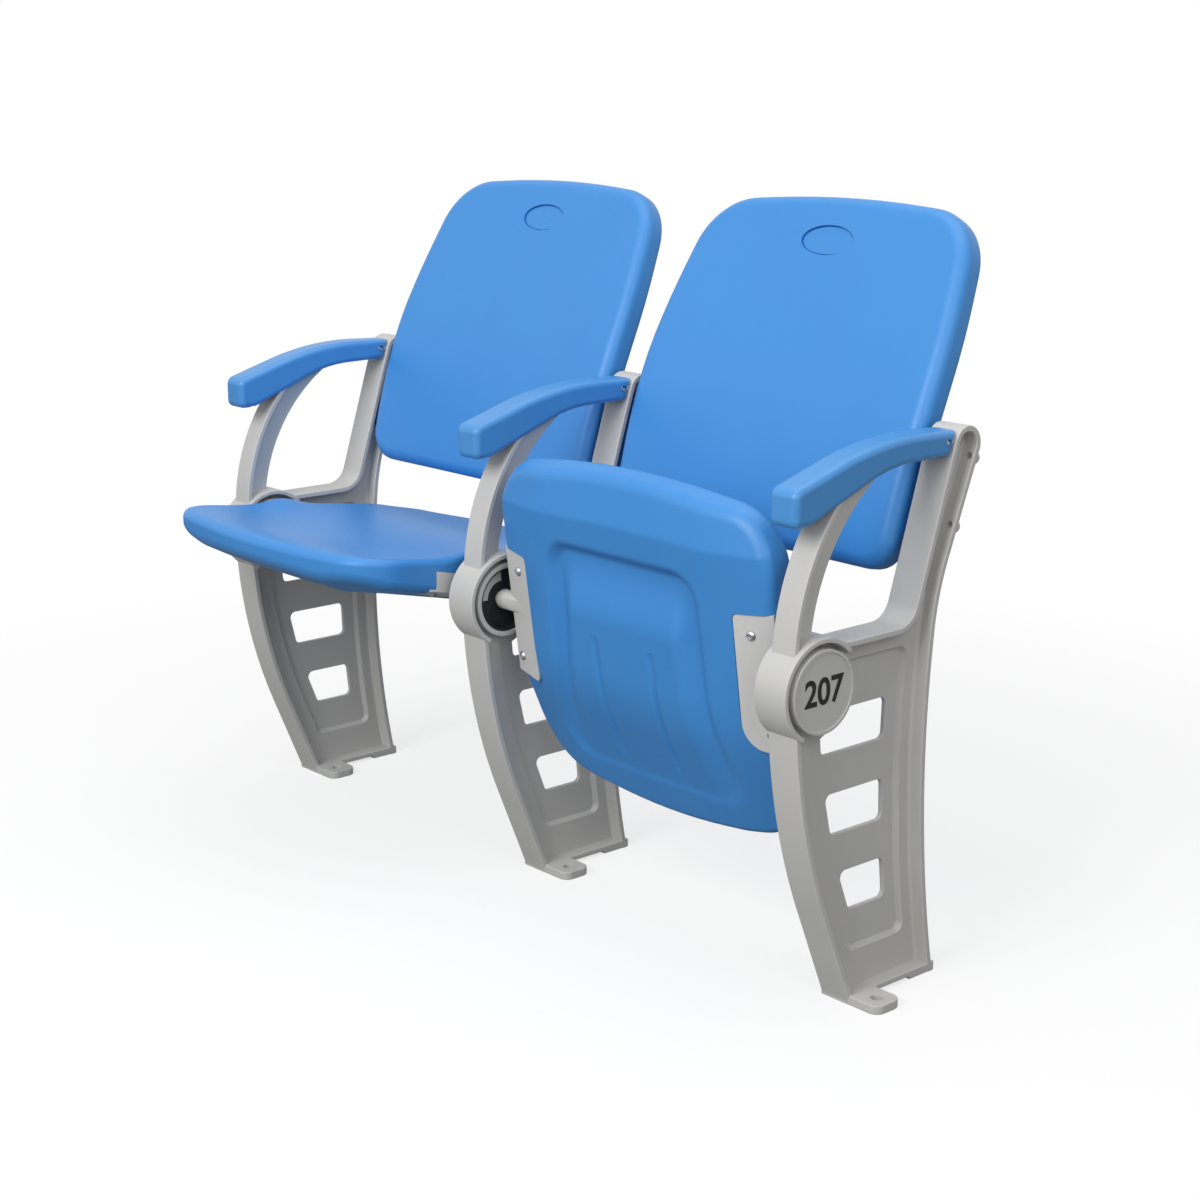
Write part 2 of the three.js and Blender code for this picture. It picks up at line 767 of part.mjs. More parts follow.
function armSideLine() {
  return roundedPath([
    [armFront, armFrontBottom, armNoseRadius / 2],
    [armHeelSetback, armFrontBottom, armHeelRadius],
    [armUnderBendSetback, armBendHeight - armUnderDrop, armUnderBendRadius],
    [uprightFrontAt(armRearBottom) - 2 * contactGap, armRearBottom],
    [uprightFrontAt(armRearTop) - 2 * contactGap, armRearTop],
    [armBendSetback, armBendHeight, armBendRadius],
    [armFront, armFrontTop, armNoseRadius],
  ], true, 2 * armEdgeRound);
}

function armRestGeometry() {
  const shape = new THREE.Shape(armSideLine());
  const outer = new THREE.ExtrudeGeometry(shape, {
    depth: armWidth - 2 * armEdgeRound,
    bevelThickness: armEdgeRound,
    bevelSize: armEdgeRound,
    bevelOffset: -armEdgeRound,
    bevelSegments: 2,
  });
  const sideView = new THREE.Matrix4().makeBasis(
    new THREE.Vector3(0, 1, 0),
    new THREE.Vector3(0, 0, 1),
    new THREE.Vector3(1, 0, 0),
  );
  outer.applyMatrix4(sideView);
  outer.translate(-armWidth / 2 + armEdgeRound, 0, 0);
  const roof = railLine(armRear + cutOverrun).map((p) => point(p.x, p.y + contactGap));
  const mouth = [
    point(armRear + cutOverrun, armFrontBottom - cutOverrun),
    point(railFront - contactGap, armFrontBottom - cutOverrun),
    point(railFront - contactGap, roof[0].y),
  ];
  const halfMouth = armWidth / 2 - armSideWall;
  const mouthSolid = across(new THREE.Shape([...roof, ...mouth]), -halfMouth, halfMouth);
  const screwHole = drum(armScrewHeadRadius + contactGap, 0, armWidth, armScrewSetback, armScrewHeight());
  return geometryOf(solid(outer).subtract(mouthSolid).subtract(screwHole));
}

function armScrewGeometry() {
  const seatPlane = armFlangeWidth / 2 + contactGap;
  const body = turned([
    [0, 0],
    [armScrewShankRadius, 0],
    [armScrewShankRadius, armScrewLength - contactGap],
    [armScrewHeadRadius, armScrewLength - contactGap],
    [armScrewHeadRadius, armScrewLength + armScrewHeadHeight],
    [0, armScrewLength + armScrewHeadHeight],
  ], fewestSides);
  const geometry = geometryOf(body);
  geometry.rotateZ(-Math.PI / 2);
  geometry.translate(seatPlane - armScrewLength + contactGap, 0, 0);
  return geometry;
}

// Shells: rings run from the middle of one face, over the rim, to the middle of the other.

function insetRing(outline, inset) {
  return offsetPath(outline, inset, true);
}

function scaledRing(outline, share) {
  return outline.map((p) => p.clone().multiplyScalar(share));
}

const faceShares = [0.45, 0.8];
const roundShares = [1, 0.3, 0];

function quarterDrop(radius, inset) {
  return radius - Math.sqrt(Math.max(0, radius * radius - (radius - inset) ** 2));
}

function stepped(outline) {
  return outline.flatMap((p, i) => {
    const next = outline[(i + 1) % outline.length];
    const parts = Math.ceil(p.distanceTo(next) / longestRimStep);
    return Array.from({ length: parts }, (_, k) => p.clone().lerp(next, k / parts));
  });
}

// Back shell

const backHalfWidth = placeSpacing / 2 - backSideGap;
const backBottomHalfWidth = backHalfWidth - backBottomTaper;
const backTopHalfWidth = backHalfWidth - backTopTaper;
const backLine = roundedPath([
  [backFootSetback, backFootHeight],
  [backBendSetback, backBendHeight, backBendRadius],
  [backHeadSetback, backHeadHeight],
]);

// A point of the back from its width, its length up the front line and its depth behind it.
function backPoint(x, along, depth) {
  let rest = along;
  let i = 0;
  while (i < backLine.length - 2 && rest > backLine[i].distanceTo(backLine[i + 1])) {
    rest -= backLine[i].distanceTo(backLine[i + 1]);
    i += 1;
  }
  const ahead = backLine[i + 1].clone().sub(backLine[i]).normalize();
  const foot = backLine[i].clone().addScaledVector(ahead, rest);
  const behind = point(ahead.y, -ahead.x);
  const hollow = backHollow * Math.cos((Math.min(Math.abs(x) / backHalfWidth, 1) * Math.PI) / 2);
  const spot = foot.addScaledVector(behind, depth + hollow);
  return new THREE.Vector3(x, spot.x, spot.y);
}

function backOutline() {
  const middle = backLength / 2;
  const backShoulder = backLength - backTopRise;
  const corners = roundedPath([
    [-backBottomHalfWidth, 0, backBottomCornerRadius],
    [backBottomHalfWidth, 0, backBottomCornerRadius],
    [backHalfWidth, backWaist, backSideRadius],
    [backTopHalfWidth, backShoulder, backTopCornerRadius],
    [0, backLength, backTopRadius],
    [-backTopHalfWidth, backShoulder, backTopCornerRadius],
    [-backHalfWidth, backWaist, backSideRadius],
  ], true);
  return stepped(corners.map((p) => point(p.x, p.y - middle)));
}

function backShell() {
  const outline = backOutline();
  const place = (loop, depth) => loop.map((p) => backPoint(p.x, p.y + backLength / 2, depth));
  const rings = faceShares.map((share) => place(scaledRing(outline, share), 0));
  roundShares.forEach((share) => {
    const inset = backEdgeRadius * share;
    rings.push(place(insetRing(outline, inset), quarterDrop(backEdgeRadius, inset)));
  });
  [...roundShares].reverse().forEach((share) => {
    const inset = backRearEdgeRadius * share;
    rings.push(place(insetRing(outline, inset), backThickness - quarterDrop(backRearEdgeRadius, inset)));
  });
  [...faceShares].reverse().forEach((share) => rings.push(place(scaledRing(outline, share), backThickness)));
  return loft(rings, (p) => point(p.x, p.z));
}

function backWings() {
  const foot = (height) => backBoltSeat(height, 0).addScaledVector(rearward, -flangeThickness - contactGap);
  const ends = [wingBottomDrop, wingTopDrop].map((drop) => foot(crownHeight - drop));
  const shape = stripShape(ends.map((p) => point(p.y, p.z)), wingThickness);
  const [inner, outer] = [backHalfWidth - wingOverlap, placeSpacing / 2 - wingEndGap];
  return [across(shape, -outer, -inner), across(shape, inner, outer)];
}

function ovalPocket() {
  const centre = backPoint(0, backLength - ovalFromTop, 0);
  const below = backPoint(0, backLength - ovalFromTop - ovalHalfHeight, 0);
  const up = centre.clone().sub(below).normalize();
  const outward = new THREE.Vector3(1, 0, 0).cross(up).normalize();
  const ring = (depth) => Array.from({ length: ovalSides }, (_, k) => {
    const angle = (2 * Math.PI * k) / ovalSides;
    return centre.clone()
      .add(new THREE.Vector3(ovalHalfWidth * Math.cos(angle), 0, 0))
      .addScaledVector(up, ovalHalfHeight * Math.sin(angle))
      .addScaledVector(outward, depth);
  });
  return loft([ring(-cutOverrun), ring(ovalDepth)], (p) => point(p.x, p.z));
}

function backGeometry() {
  const bolts = [-1, 1].flatMap((side) => backBoltHeights.map((height) => {
    const start = backBoltSeat(height, side * (placeSpacing / 2 - backBoltOffset));
    start.addScaledVector(rearward, cutOverrun);
    return rod(backBoltRadius + contactGap, start, rearward.clone().negate(),
      backBoltReach - backBoltPadHeight + contactGap + cutOverrun);
  }));
  return geometryOf(join([backShell(), ...backWings()]).subtract(ovalPocket()).subtract(join(bolts)));
}

function backBoltGeometry() {
  const shank = backBoltReach - backBoltPadHeight;
  return geometryOf(turned([
    [0, -shank],
    [backBoltRadius, -shank],
    [backBoltRadius, backBoltPadHeight + contactGap],
    [backBoltHeadRadius, backBoltPadHeight + contactGap],
    [backBoltHeadRadius, backBoltPadHeight + contactGap + backBoltHeadHeight],
    [0, backBoltPadHeight + contactGap + backBoltHeadHeight],
  ], fewestSides));
}

// Seat shell

const seatHalfWidth = placeSpacing / 2 - seatSideGap;
const seatRearHalfWidth = seatHalfWidth - seatRearTaper;
const seatFall = Math.tan(rad(seatTopFallDeg));
const seatUnderLine = roundedPath([
  [seatFront, seatNoseUnder],
  [seatUnderBendSetback, seatUnderBendHeight, seatUnderBendRadius],
  [seatHeelBendSetback, seatHeelBendHeight, seatHeelBendRadius],
  [seatRear, seatHeelUnder],
]);
const seatUnderAt = heightAlong(seatUnderLine, 'x', 'y');

function seatOutline() {
  const corners = roundedPath([
    [0, seatFront, seatFrontRadius],
    [seatHalfWidth, seatFrontCorner, seatFrontCornerRadius],
    [seatHalfWidth, bracketRear],
    [seatRearHalfWidth, seatRearCorner, seatRearCornerRadius],
    [0, seatRear, seatRearRadius],
    [-seatRearHalfWidth, seatRearCorner, seatRearCornerRadius],
    [-seatHalfWidth, bracketRear],
    [-seatHalfWidth, seatFrontCorner, seatFrontCornerRadius],
  ], true);
  return stepped(corners);
}

function swellAt(x, y) {
  const aside = (Math.abs(x) - seatHalfWidth) / pivotSwellWidth;
  const along = y / pivotSwellLength;
  return pivotSwell * Math.exp(-aside * aside - along * along);
}

function seatTopAt(x, y) {
  const side = Math.min(Math.abs(x) / seatHalfWidth, 1);
  const rim = seatTopAtPivot - seatFall * y;
  const lengthwise = THREE.MathUtils.smoothstep(y, seatFront, seatFront + 3 * seatLipLength)
    * THREE.MathUtils.smoothstep(-y, -seatRear, seatRearRim - seatRear);
  const dish = seatDish * (1 - side ** 4) * lengthwise;
  const intoLip = THREE.MathUtils.clamp((seatFront + seatLipLength - y) / seatLipLength, 0, 1);
  return rim - dish - seatLip * intoLip ** 2 + swellAt(x, y);
}

function seatBottomAt(x, y) {
  const side = Math.min(Math.abs(x) / seatHalfWidth, 1);
  return seatUnderAt(y) + seatSideLift * side ** 3;
}

function seatShell() {
  const outline = seatOutline();
  const top = (loop, drop) => loop.map((p) => new THREE.Vector3(p.x, p.y, seatTopAt(p.x, p.y) - drop));
  const bottom = (loop, rise) => loop.map((p) => new THREE.Vector3(p.x, p.y, seatBottomAt(p.x, p.y) + rise));
  const rings = faceShares.map((share) => top(scaledRing(outline, share), 0));
  roundShares.forEach((share) => {
    const inset = seatTopEdgeRadius * share;
    rings.push(top(insetRing(outline, inset), quarterDrop(seatTopEdgeRadius, inset)));
  });
  [...roundShares].reverse().forEach((share) => {
    const inset = seatBottomEdgeRadius * share;
    rings.push(bottom(insetRing(outline, inset), quarterDrop(seatBottomEdgeRadius, inset)));
  });
  [...faceShares].reverse().forEach((share) => rings.push(bottom(scaledRing(outline, share), 0)));
  return loft(rings, (p) => point(p.x, p.y));
}

// The sunk panel under the seat follows the underside at a set depth.
function pocketSolid() {
  const outline = roundedPath([
    [-pocketFrontHalfWidth, pocketFront, pocketCornerRadius],
    [pocketFrontHalfWidth, pocketFront, pocketCornerRadius],
    [pocketWaistHalfWidth, pocketWaist],
    [pocketRearHalfWidth, pocketRear, pocketRearRadius],
    [-pocketRearHalfWidth, pocketRear, pocketRearRadius],
    [-pocketWaistHalfWidth, pocketWaist],
  ], true);
  const even = stepped(outline);
  const place = (loop, rise) => loop.map((p) => new THREE.Vector3(p.x, p.y, seatBottomAt(p.x, p.y) + rise));
  const low = seatBottomAt(0, seatHeelBendSetback) - cutOverrun;
  const below = even.map((p) => new THREE.Vector3(p.x, p.y, low));
  const inner = insetRing(even, pocketDraft);
  return loft([
    below,
    place(even, -contactGap),
    place(inner, pocketDepth),
    ...[...faceShares].reverse().map((share) => place(scaledRing(inner, share), pocketDepth)),
  ], (p) => point(p.x, p.y));
}

function grooveSolid(side) {
  const stations = Array.from({ length: grooveSteps + 1 }, (_, k) => k / grooveSteps);
  const middle = stations.map((t) => point(
    side * (grooveOffset + grooveSpread * t * t),
    THREE.MathUtils.lerp(grooveStart, grooveEnd, t),
  ));
  const loop = [...offsetPath(middle, grooveWidth / 2), ...offsetPath(middle, -grooveWidth / 2).reverse()];
  const low = seatBottomAt(0, seatHeelBendSetback) - cutOverrun;
  const depth = pocketDepth + grooveDepth;
  const floor = loop.map((p) => new THREE.Vector3(p.x, p.y, seatBottomAt(p.x, p.y) + depth));
  return loft([loop.map((p) => new THREE.Vector3(p.x, p.y, low)), floor], (p) => point(p.x, p.y));
}

// Bracket: a plate under the seat's edge, a plate up its side, the pivot boss and its stop finger.
// Drawn for the +X end, in the seat's lowered place, from the hub's axis.

const bracketFall = Math.tan(rad(bracketFallDeg));
const bracketPlane = (y) => -bracketDrop - bracketFall * y;
const bracketSide = seatHalfWidth + contactGap;
const bracketLean = new THREE.Vector3(0, Math.sin(rad(bracketFallDeg)), Math.cos(rad(bracketFallDeg)));

function bracketSideShape(clearance) {
  const low = (y) => bracketPlane(y) - clearance;
  return new THREE.Shape(roundedPath([
    [bracketFront, low(bracketFront)],
    [bracketRear, low(bracketRear)],
    [bracketRear, low(bracketRear) + bracketHeight, bracketFrontRadius],
    [bracketFront, low(bracketFront) + bracketHeight, bracketFrontRadius],
  ], true));
}

function bracketPlatePlan(from, to, grow) {
  return roundedPath([
    [to, bracketFront - grow],
    [to, bracketRear + grow],
    [from - grow, bracketRear + grow, bracketRearRadius + grow],
    [from - grow, bracketFront - grow, bracketFrontRadius + grow],
  ], true);
}

// The space at the seat's edge that the bracket takes, and the wall kept above it.
function bracketSpace(clearance) {
  const plan = bracketPlatePlan(seatHalfWidth - bracketWidth, seatHalfWidth + flangeWidth, clearance);
  const top = plan.map((p) => new THREE.Vector3(p.x, p.y, bracketPlane(p.y) + bracketThickness + clearance));
  const bottom = plan.map((p) => new THREE.Vector3(p.x, p.y, bracketPlane(p.y) - seatTopAtPivot));
  return loft([bottom, top], (p) => point(p.x, p.y));
}

function plateBolts() {
  return plateBoltSetbacks.map((y, i) => ({
    seat: new THREE.Vector3(seatHalfWidth - plateBoltInsets[i], y, bracketPlane(y)),
    inward: bracketLean.clone(),
  }));
}

function sideBolt() {
  return {
    seat: new THREE.Vector3(bracketSide + bracketThickness, sideBoltSetback, sideBoltHeight),
    inward: new THREE.Vector3(-1, 0, 0),
  };
}

function boltHoles(radius, length) {
  return join([...plateBolts(), sideBolt()].map(({ seat, inward }) => rod(
    radius,
    seat.clone().addScaledVector(inward, -cutOverrun),
    inward,
    length + cutOverrun,
  )));
}

function bracketGeometry() {
  const plan = bracketPlatePlan(seatHalfWidth - bracketWidth, bracketSide + bracketThickness, 0);
  const face = (lift) => plan.map((p) => new THREE.Vector3(p.x, p.y, bracketPlane(p.y) + lift));
  const plate = loft([face(0), face(bracketThickness)], (p) => point(p.x, p.y));
  const side = across(bracketSideShape(0), bracketSide, bracketSide + bracketThickness);
  const midPlane = placeSpacing / 2;
  const boss = new THREE.LatheGeometry([
    point(0, bracketSide),
    point(bossRadius, bracketSide),
    point(bossRadius, midPlane - bossShoulder),
    point(bossNoseRadius, midPlane - bossNoseStart),
    point(bossNoseRadius, midPlane - bossEnd),
    point(0, midPlane - bossEnd),
  ], turnedSides);
  boss.rotateZ(-Math.PI / 2);
  const fingerMiddle = stopStartDeg - fingerWidthDeg / 2 - fingerGapDeg;
  const fingerSides = [fingerMiddle - fingerWidthDeg / 2, fingerMiddle + fingerWidthDeg / 2];
  const finger = across(
    sectorShape(bossRadius / 2, fingerOuterRadius, ...fingerSides),
    midPlane - fingerEnd,
    midPlane - fingerStart,
  );
  const body = join([plate, side, solid(boss), finger]);
  return geometryOf(body.subtract(boltHoles(bracketBoltRadius + contactGap, bracketBoltLength)));
}

function bracketBoltGeometry() {
  return geometryOf(turned([
    [0, -bracketBoltHeadHeight - contactGap],
    [bracketBoltHeadRadius, -bracketBoltHeadHeight - contactGap],
    [bracketBoltHeadRadius, -contactGap],
    [bracketBoltRadius, -contactGap],
    [bracketBoltRadius, bracketBoltLength - 2 * contactGap],
    [0, bracketBoltLength - 2 * contactGap],
  ], fewestSides));
}

function seatGeometry() {
  const space = geometryOf(bracketSpace(contactGap));
  const holes = geometryOf(boltHoles(bracketBoltRadius + contactGap, bracketBoltLength));
  const pocket = join([pocketSolid(), grooveSolid(1), grooveSolid(-1)]);
  return geometryOf(seatShell()
    .subtract(pocket)
    .subtract(solid(space))
    .subtract(solid(mirrored(space)))
    .subtract(solid(holes))
    .subtract(solid(mirrored(holes))));
}

// Pivot bush: a spigot in the web's bore, a cover plate over the cavity's floor and the raising buffer.
// Drawn for the +X side of a standard, about the hub's axis.

function bushGeometry() {
  const webFace = webThickness / 2 + contactGap;
  const plateTop = webFace + bushPlateThickness;
  const bore = bossNoseRadius + bushRunning;
  const plateRadius = hubRingInnerRadius - chordTolerance - contactGap;
  const spigotRadius = bushBoreRadius - chordTolerance - contactGap;
  const profile = [
    [bore, contactGap / 2],
    [spigotRadius, contactGap / 2],
    [spigotRadius, webFace],
    [plateRadius, webFace],
    [plateRadius, plateTop],
    [bushCollarRadius, plateTop],
    [bushCollarRadius, bushCollarReach],
    [bore, bushCollarReach],
    [bore, contactGap / 2],
  ].map(([r, h]) => point(r, h));
  const body = new THREE.LatheGeometry(profile, turnedSides);
  body.rotateZ(-Math.PI / 2);
  const upFinger = stopStartDeg - fingerWidthDeg - 2 * fingerGapDeg - tipDeg;
  const buffer = across(sectorShape(stopInnerRadius, plateRadius, upFinger - bufferWidthDeg, upFinger),
    plateTop - bushPlateThickness / 2, bufferReach);
  return geometryOf(solid(body).add(buffer).subtract(stopSpace(flangeWidth)));
}

// The room kept round a hub's cast stop, from the web outwards.
function stopSpace(reach) {
  const inner = stopInnerRadius - chordTolerance - contactGap;
  const [startDeg, endDeg] = [stopStartDeg - stopSpaceDeg, stopEndDeg + stopSpaceDeg];
  return across(sectorShape(inner, hubRadius, startDeg, endDeg), 0, reach);
}

function discGeometry() {
  const face = hubRingReach - discSunk;
  const radius = hubRingInnerRadius - chordTolerance - contactGap;
  const body = new THREE.LatheGeometry([
    point(0, face - discThickness),
    point(radius, face - discThickness),
    point(radius, face + discRimHeight),
    point(radius - discRimWidth, face + discRimHeight),
    point(radius - discRimWidth, face),
    point(0, face),
  ], turnedSides);
  body.rotateZ(-Math.PI / 2);
  return geometryOf(solid(body).subtract(stopSpace(stopReach + contactGap)));
}

// Scene

function finish(color, roughness, metalness) {
  return new THREE.MeshStandardMaterial({ color, roughness, metalness });
}

const castFinish = () => finish(castingColour, 0.55, 0.1);
const shellFinish = () => finish(shellColour, 0.45, 0);
const plateFinish = () => finish(steelColour, 0.4, 0.6);
const boltFinish = () => finish(boltColour, 0.3, 0.9);
const nylonFinish = () => finish(nylonColour, 0.6, 0);

function named(name, geometry, material) {
  const mesh = new THREE.Mesh(geometry, material);
  mesh.name = name;
  return mesh;
}

const seat = new THREE.Group();
const standardNames = ['left', 'middle', 'right'];
const placeNames = ['left', 'right'];
const yAxis = new THREE.Vector3(0, 1, 0);

const shapes = {
  standard: standardGeometry(),
  armRest: armRestGeometry(),
  armScrew: armScrewGeometry(),
  back: backGeometry(),
  backBolt: backBoltGeometry(),
  seat: seatGeometry(),
  bracket: bracketGeometry(),
  bracketBolt: bracketBoltGeometry(),
  bush: bushGeometry(),
  disc: discGeometry(),
};

standardNames.forEach((name, i) => {
  const x = (i - 1) * placeSpacing;
  const standard = named(`standard_${name}`, shapes.standard, castFinish());
  const armRest = named(`arm_rest_${name}`, shapes.armRest, shellFinish());
  const armScrew = named(`arm_screw_${name}`, shapes.armScrew, boltFinish());
  standard.position.x = x;
  armRest.position.x = x;
  armScrew.position.set(x, armScrewSetback, armScrewHeight());
  seat.add(standard, armRest, armScrew);
});

placeNames.forEach((name, i) => {
  const x = (i - 0.5) * placeSpacing;
  const back = named(`back_${name}`, shapes.back, shellFinish());
  back.position.x = x;
  seat.add(back);
  [-1, 1].forEach((side) => backBoltHeights.forEach((height, k) => {
    const bolt = named(`back_bolt_${name}_${side < 0 ? 'l' : 'r'}${k + 1}`, shapes.backBolt, boltFinish());
    bolt.position.copy(backBoltSeat(height, x + side * (placeSpacing / 2 - backBoltOffset)));
    bolt.quaternion.setFromUnitVectors(yAxis, rearward);
    seat.add(bolt);
  }));

  const tipping = new THREE.Group();
  tipping.position.set(x, ...hubCentre);
  tipping.rotation.x = i === 0 ? 0 : -rad(tipDeg);
  tipping.add(named(`seat_${name}`, shapes.seat, shellFinish()));
  [-1, 1].forEach((side) => {
    const end = side < 0 ? 'l' : 'r';
    const toSide = (geometry) => (side > 0 ? geometry : mirrored(geometry));
    tipping.add(named(`seat_bracket_${name}_${end}`, toSide(shapes.bracket), plateFinish()));
    [...plateBolts(), sideBolt()].forEach(({ seat: place, inward }, k) => {
      const bolt = named(`bracket_bolt_${name}_${end}${k + 1}`, shapes.bracketBolt, boltFinish());
      const along = inward.clone().multiply(new THREE.Vector3(side, 1, 1));
      bolt.position.copy(place).multiply(new THREE.Vector3(side, 1, 1));
      bolt.quaternion.setFromUnitVectors(yAxis, along);
      tipping.add(bolt);
    });
    const bushShape = side > 0 ? mirrored(shapes.bush) : shapes.bush;
    const bush = named(`pivot_bush_${name}_${end}`, bushShape, nylonFinish());
    bush.position.set(x + (side * placeSpacing) / 2, ...hubCentre);
    seat.add(bush);
  });
  seat.add(tipping);
});

[['blank_disc', -1], ['number_disc', 1]].forEach(([name, side]) => {
  const disc = named(name, side > 0 ? shapes.disc : mirrored(shapes.disc), castFinish());
  disc.position.set(side * placeSpacing, ...hubCentre);
  seat.add(disc);
});

seat.position.y = -reliefStart / 2;

export default seat;
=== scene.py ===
"""Stadium seat: the finishes, fine shapes, light and camera of two tip-up places on three cast standards.

Sizes are millimetres in the classes below and become metres when a piece is placed. X runs along the row, the
sitter faces -Y and the floor is Z = 0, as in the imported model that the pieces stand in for.
"""

import logging
import math
from collections.abc import Callable, Iterable, Sequence
from dataclasses import dataclass, replace
from enum import Enum

import bmesh
import bpy
import numpy as np
from mathutils import Matrix, Quaternion, Vector


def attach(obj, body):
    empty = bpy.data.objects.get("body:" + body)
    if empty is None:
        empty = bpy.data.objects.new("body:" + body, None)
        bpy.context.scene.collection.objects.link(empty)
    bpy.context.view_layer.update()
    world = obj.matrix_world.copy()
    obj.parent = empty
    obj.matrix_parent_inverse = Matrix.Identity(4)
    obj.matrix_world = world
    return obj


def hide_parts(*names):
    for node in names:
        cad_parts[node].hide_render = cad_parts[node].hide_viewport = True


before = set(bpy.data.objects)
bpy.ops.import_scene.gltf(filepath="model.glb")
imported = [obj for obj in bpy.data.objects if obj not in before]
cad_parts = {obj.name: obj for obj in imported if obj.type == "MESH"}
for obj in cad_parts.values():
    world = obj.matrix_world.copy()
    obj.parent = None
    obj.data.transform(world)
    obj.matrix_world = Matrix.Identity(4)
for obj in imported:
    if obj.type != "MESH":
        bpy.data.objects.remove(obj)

LOG = logging.getLogger("stadium_seat")
MM = 0.001
Corner = tuple[float, ...]

# The steps of a rounded edge, and of one whose radius is broad.
EDGE_STEPS = 3
BROAD_EDGE = 3.0
BROAD_EDGE_STEPS = 7

# The steps of a shell's rounded rim, and how far an arc's chord may lie from it.
RIM_STEPS = 7
CHORD = 0.03

# How close corners lie when they are merged, how little faces turn when they are, and how close a slice may pass.
WELD = 0.004
FLAT_DEG = 0.2
SLICE = 0.02


class Body(Enum):
    """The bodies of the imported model."""

    FRAME = "frame"
    SEAT_LEFT = "seat_left"
    SEAT_RIGHT = "seat_right"


class Slot(Enum):
    """The record's material slots."""

    CASTING = "casting"
    SHELL = "shell"
    BRACKET = "bracket"
    BOLT = "bolt"
    NYLON = "nylon"


class Operation(Enum):
    """How one body changes another."""

    JOIN = "UNION"
    CUT = "DIFFERENCE"


class Place(Enum):
    """The two places of the row, each with its share of the spacing from the middle standard."""

    LEFT = -0.5
    RIGHT = 0.5

    @property
    def word(self) -> str:
        """The place's word in node names."""
        return self.name.lower()

    @property
    def body(self) -> Body:
        """The body that the place's seat rides on."""
        return Body.SEAT_LEFT if self is Place.LEFT else Body.SEAT_RIGHT


# Colours and materials


def linear(code: str) -> tuple[float, float, float, float]:
    """Turns a hex sRGB colour into linear values.

    Args:
        code: The colour as "#rrggbb".

    Returns:
        The linear red, green and blue, and an alpha of 1.
    """
    shares = [int(code[i : i + 2], 16) / 255 for i in (1, 3, 5)]
    red, green, blue = (c / 12.92 if c <= 0.04045 else ((c + 0.055) / 1.055) ** 2.4 for c in shares)
    return red, green, blue, 1.0


def add_node(tree: bpy.types.NodeTree, kind: str, links: dict | None = None, **settings: object) -> bpy.types.Node:
    """Adds a node with its settings, socket values and links.

    Args:
        tree: The node tree that gets the node.
        kind: The node's type name.
        links: Socket names or numbers, each with a value or with the output socket that feeds it.
        **settings: The node's own properties.

    Returns:
        The new node.
    """
    node = tree.nodes.new(kind)
    for name, value in settings.items():
        setattr(node, name, value)
    for socket, value in (links or {}).items():
        if isinstance(value, bpy.types.NodeSocket):
            tree.links.new(value, node.inputs[socket])
        else:
            node.inputs[socket].default_value = value
    return node


@dataclass(frozen=True)
class Relief:
    """One layer of a surface's relief: the width of its bumps and how deep they are."""

    width: float
    depth: float
    detail: float = 1.5


@dataclass(frozen=True)
class Finish:
    """A real material with the way its surface was made."""

    name: str
    colour: str
    shade: str
    roughness: float
    reliefs: tuple[Relief, ...]
    roughness_spread: float = 0.06
    cloud_width: float = 90.0
    metallic: float = 0.0
    ior: float = 1.5
    cloud_detail: float = 3.0
    gloss_detail: float = 2.0
    gloss_width: float = 2.2
    gloss_range: Corner = (0.3, 0.7)

    def material(self) -> bpy.types.Material:
        """Builds the material, or returns the one already built under this name."""
        known = bpy.data.materials.get(self.name)
        if known is not None:
            return known
        material = bpy.data.materials.new(self.name)
        material.use_nodes = True
        tree = material.node_tree
        tree.nodes.clear()
        output = add_node(tree, "ShaderNodeOutputMaterial")
        place = add_node(tree, "ShaderNodeTexCoord").outputs["Object"]
        cloud = self._noise(tree, place, self.cloud_width, self.cloud_detail)
        fine = self._noise(tree, place, self.reliefs[-1].width * self.gloss_width, self.gloss_detail)
        tint = add_node(tree, "ShaderNodeMix", {"Factor": cloud}, data_type="RGBA")
        tint.inputs["A"].default_value = linear(self.colour)
        tint.inputs["B"].default_value = linear(self.shade)
        gloss = add_node(
            tree,
            "ShaderNodeMapRange",
            {
                "Value": fine,
                "From Min": self.gloss_range[0],
                "From Max": self.gloss_range[1],
                "To Min": self.roughness - self.roughness_spread,
                "To Max": self.roughness + self.roughness_spread,
            },
        )
        surface = add_node(
            tree,
            "ShaderNodeBsdfPrincipled",
            {"Base Color": tint.outputs["Result"], "Roughness": gloss.outputs["Result"], "Metallic": self.metallic},
        )
        if not self.metallic:
            surface.inputs["IOR"].default_value = self.ior
        normal = None
        for relief in self.reliefs:
            height = self._noise(tree, place, relief.width, relief.detail)
            depth = relief.depth * MM
            bump = add_node(tree, "ShaderNodeBump", {"Height": height, "Distance": depth, "Strength": 1.0})
            if normal is not None:
                tree.links.new(normal, bump.inputs["Normal"])
            normal = bump.outputs["Normal"]
        tree.links.new(normal, surface.inputs["Normal"])
        tree.links.new(surface.outputs["BSDF"], output.inputs["Surface"])
        return material

    @staticmethod
    def _noise(
        tree: bpy.types.NodeTree, place: bpy.types.NodeSocket, width: float, detail: float, falloff: float = 0.55
    ) -> bpy.types.NodeSocket:
        """Adds noise whose lumps are about the given width.

        Args:
            tree: The material's node tree.
            place: The coordinates in metres.
            width: The lumps' width in millimetres.
            detail: The number of finer layers.
            falloff: How strong each finer layer is beside the one before.

        Returns:
            The noise's value, from 0 to 1.
        """
        links = {"Vector": place, "Scale": 1 / (width * MM), "Detail": detail, "Roughness": falloff}
        return add_node(tree, "ShaderNodeTexNoise", links).outputs["Fac"]


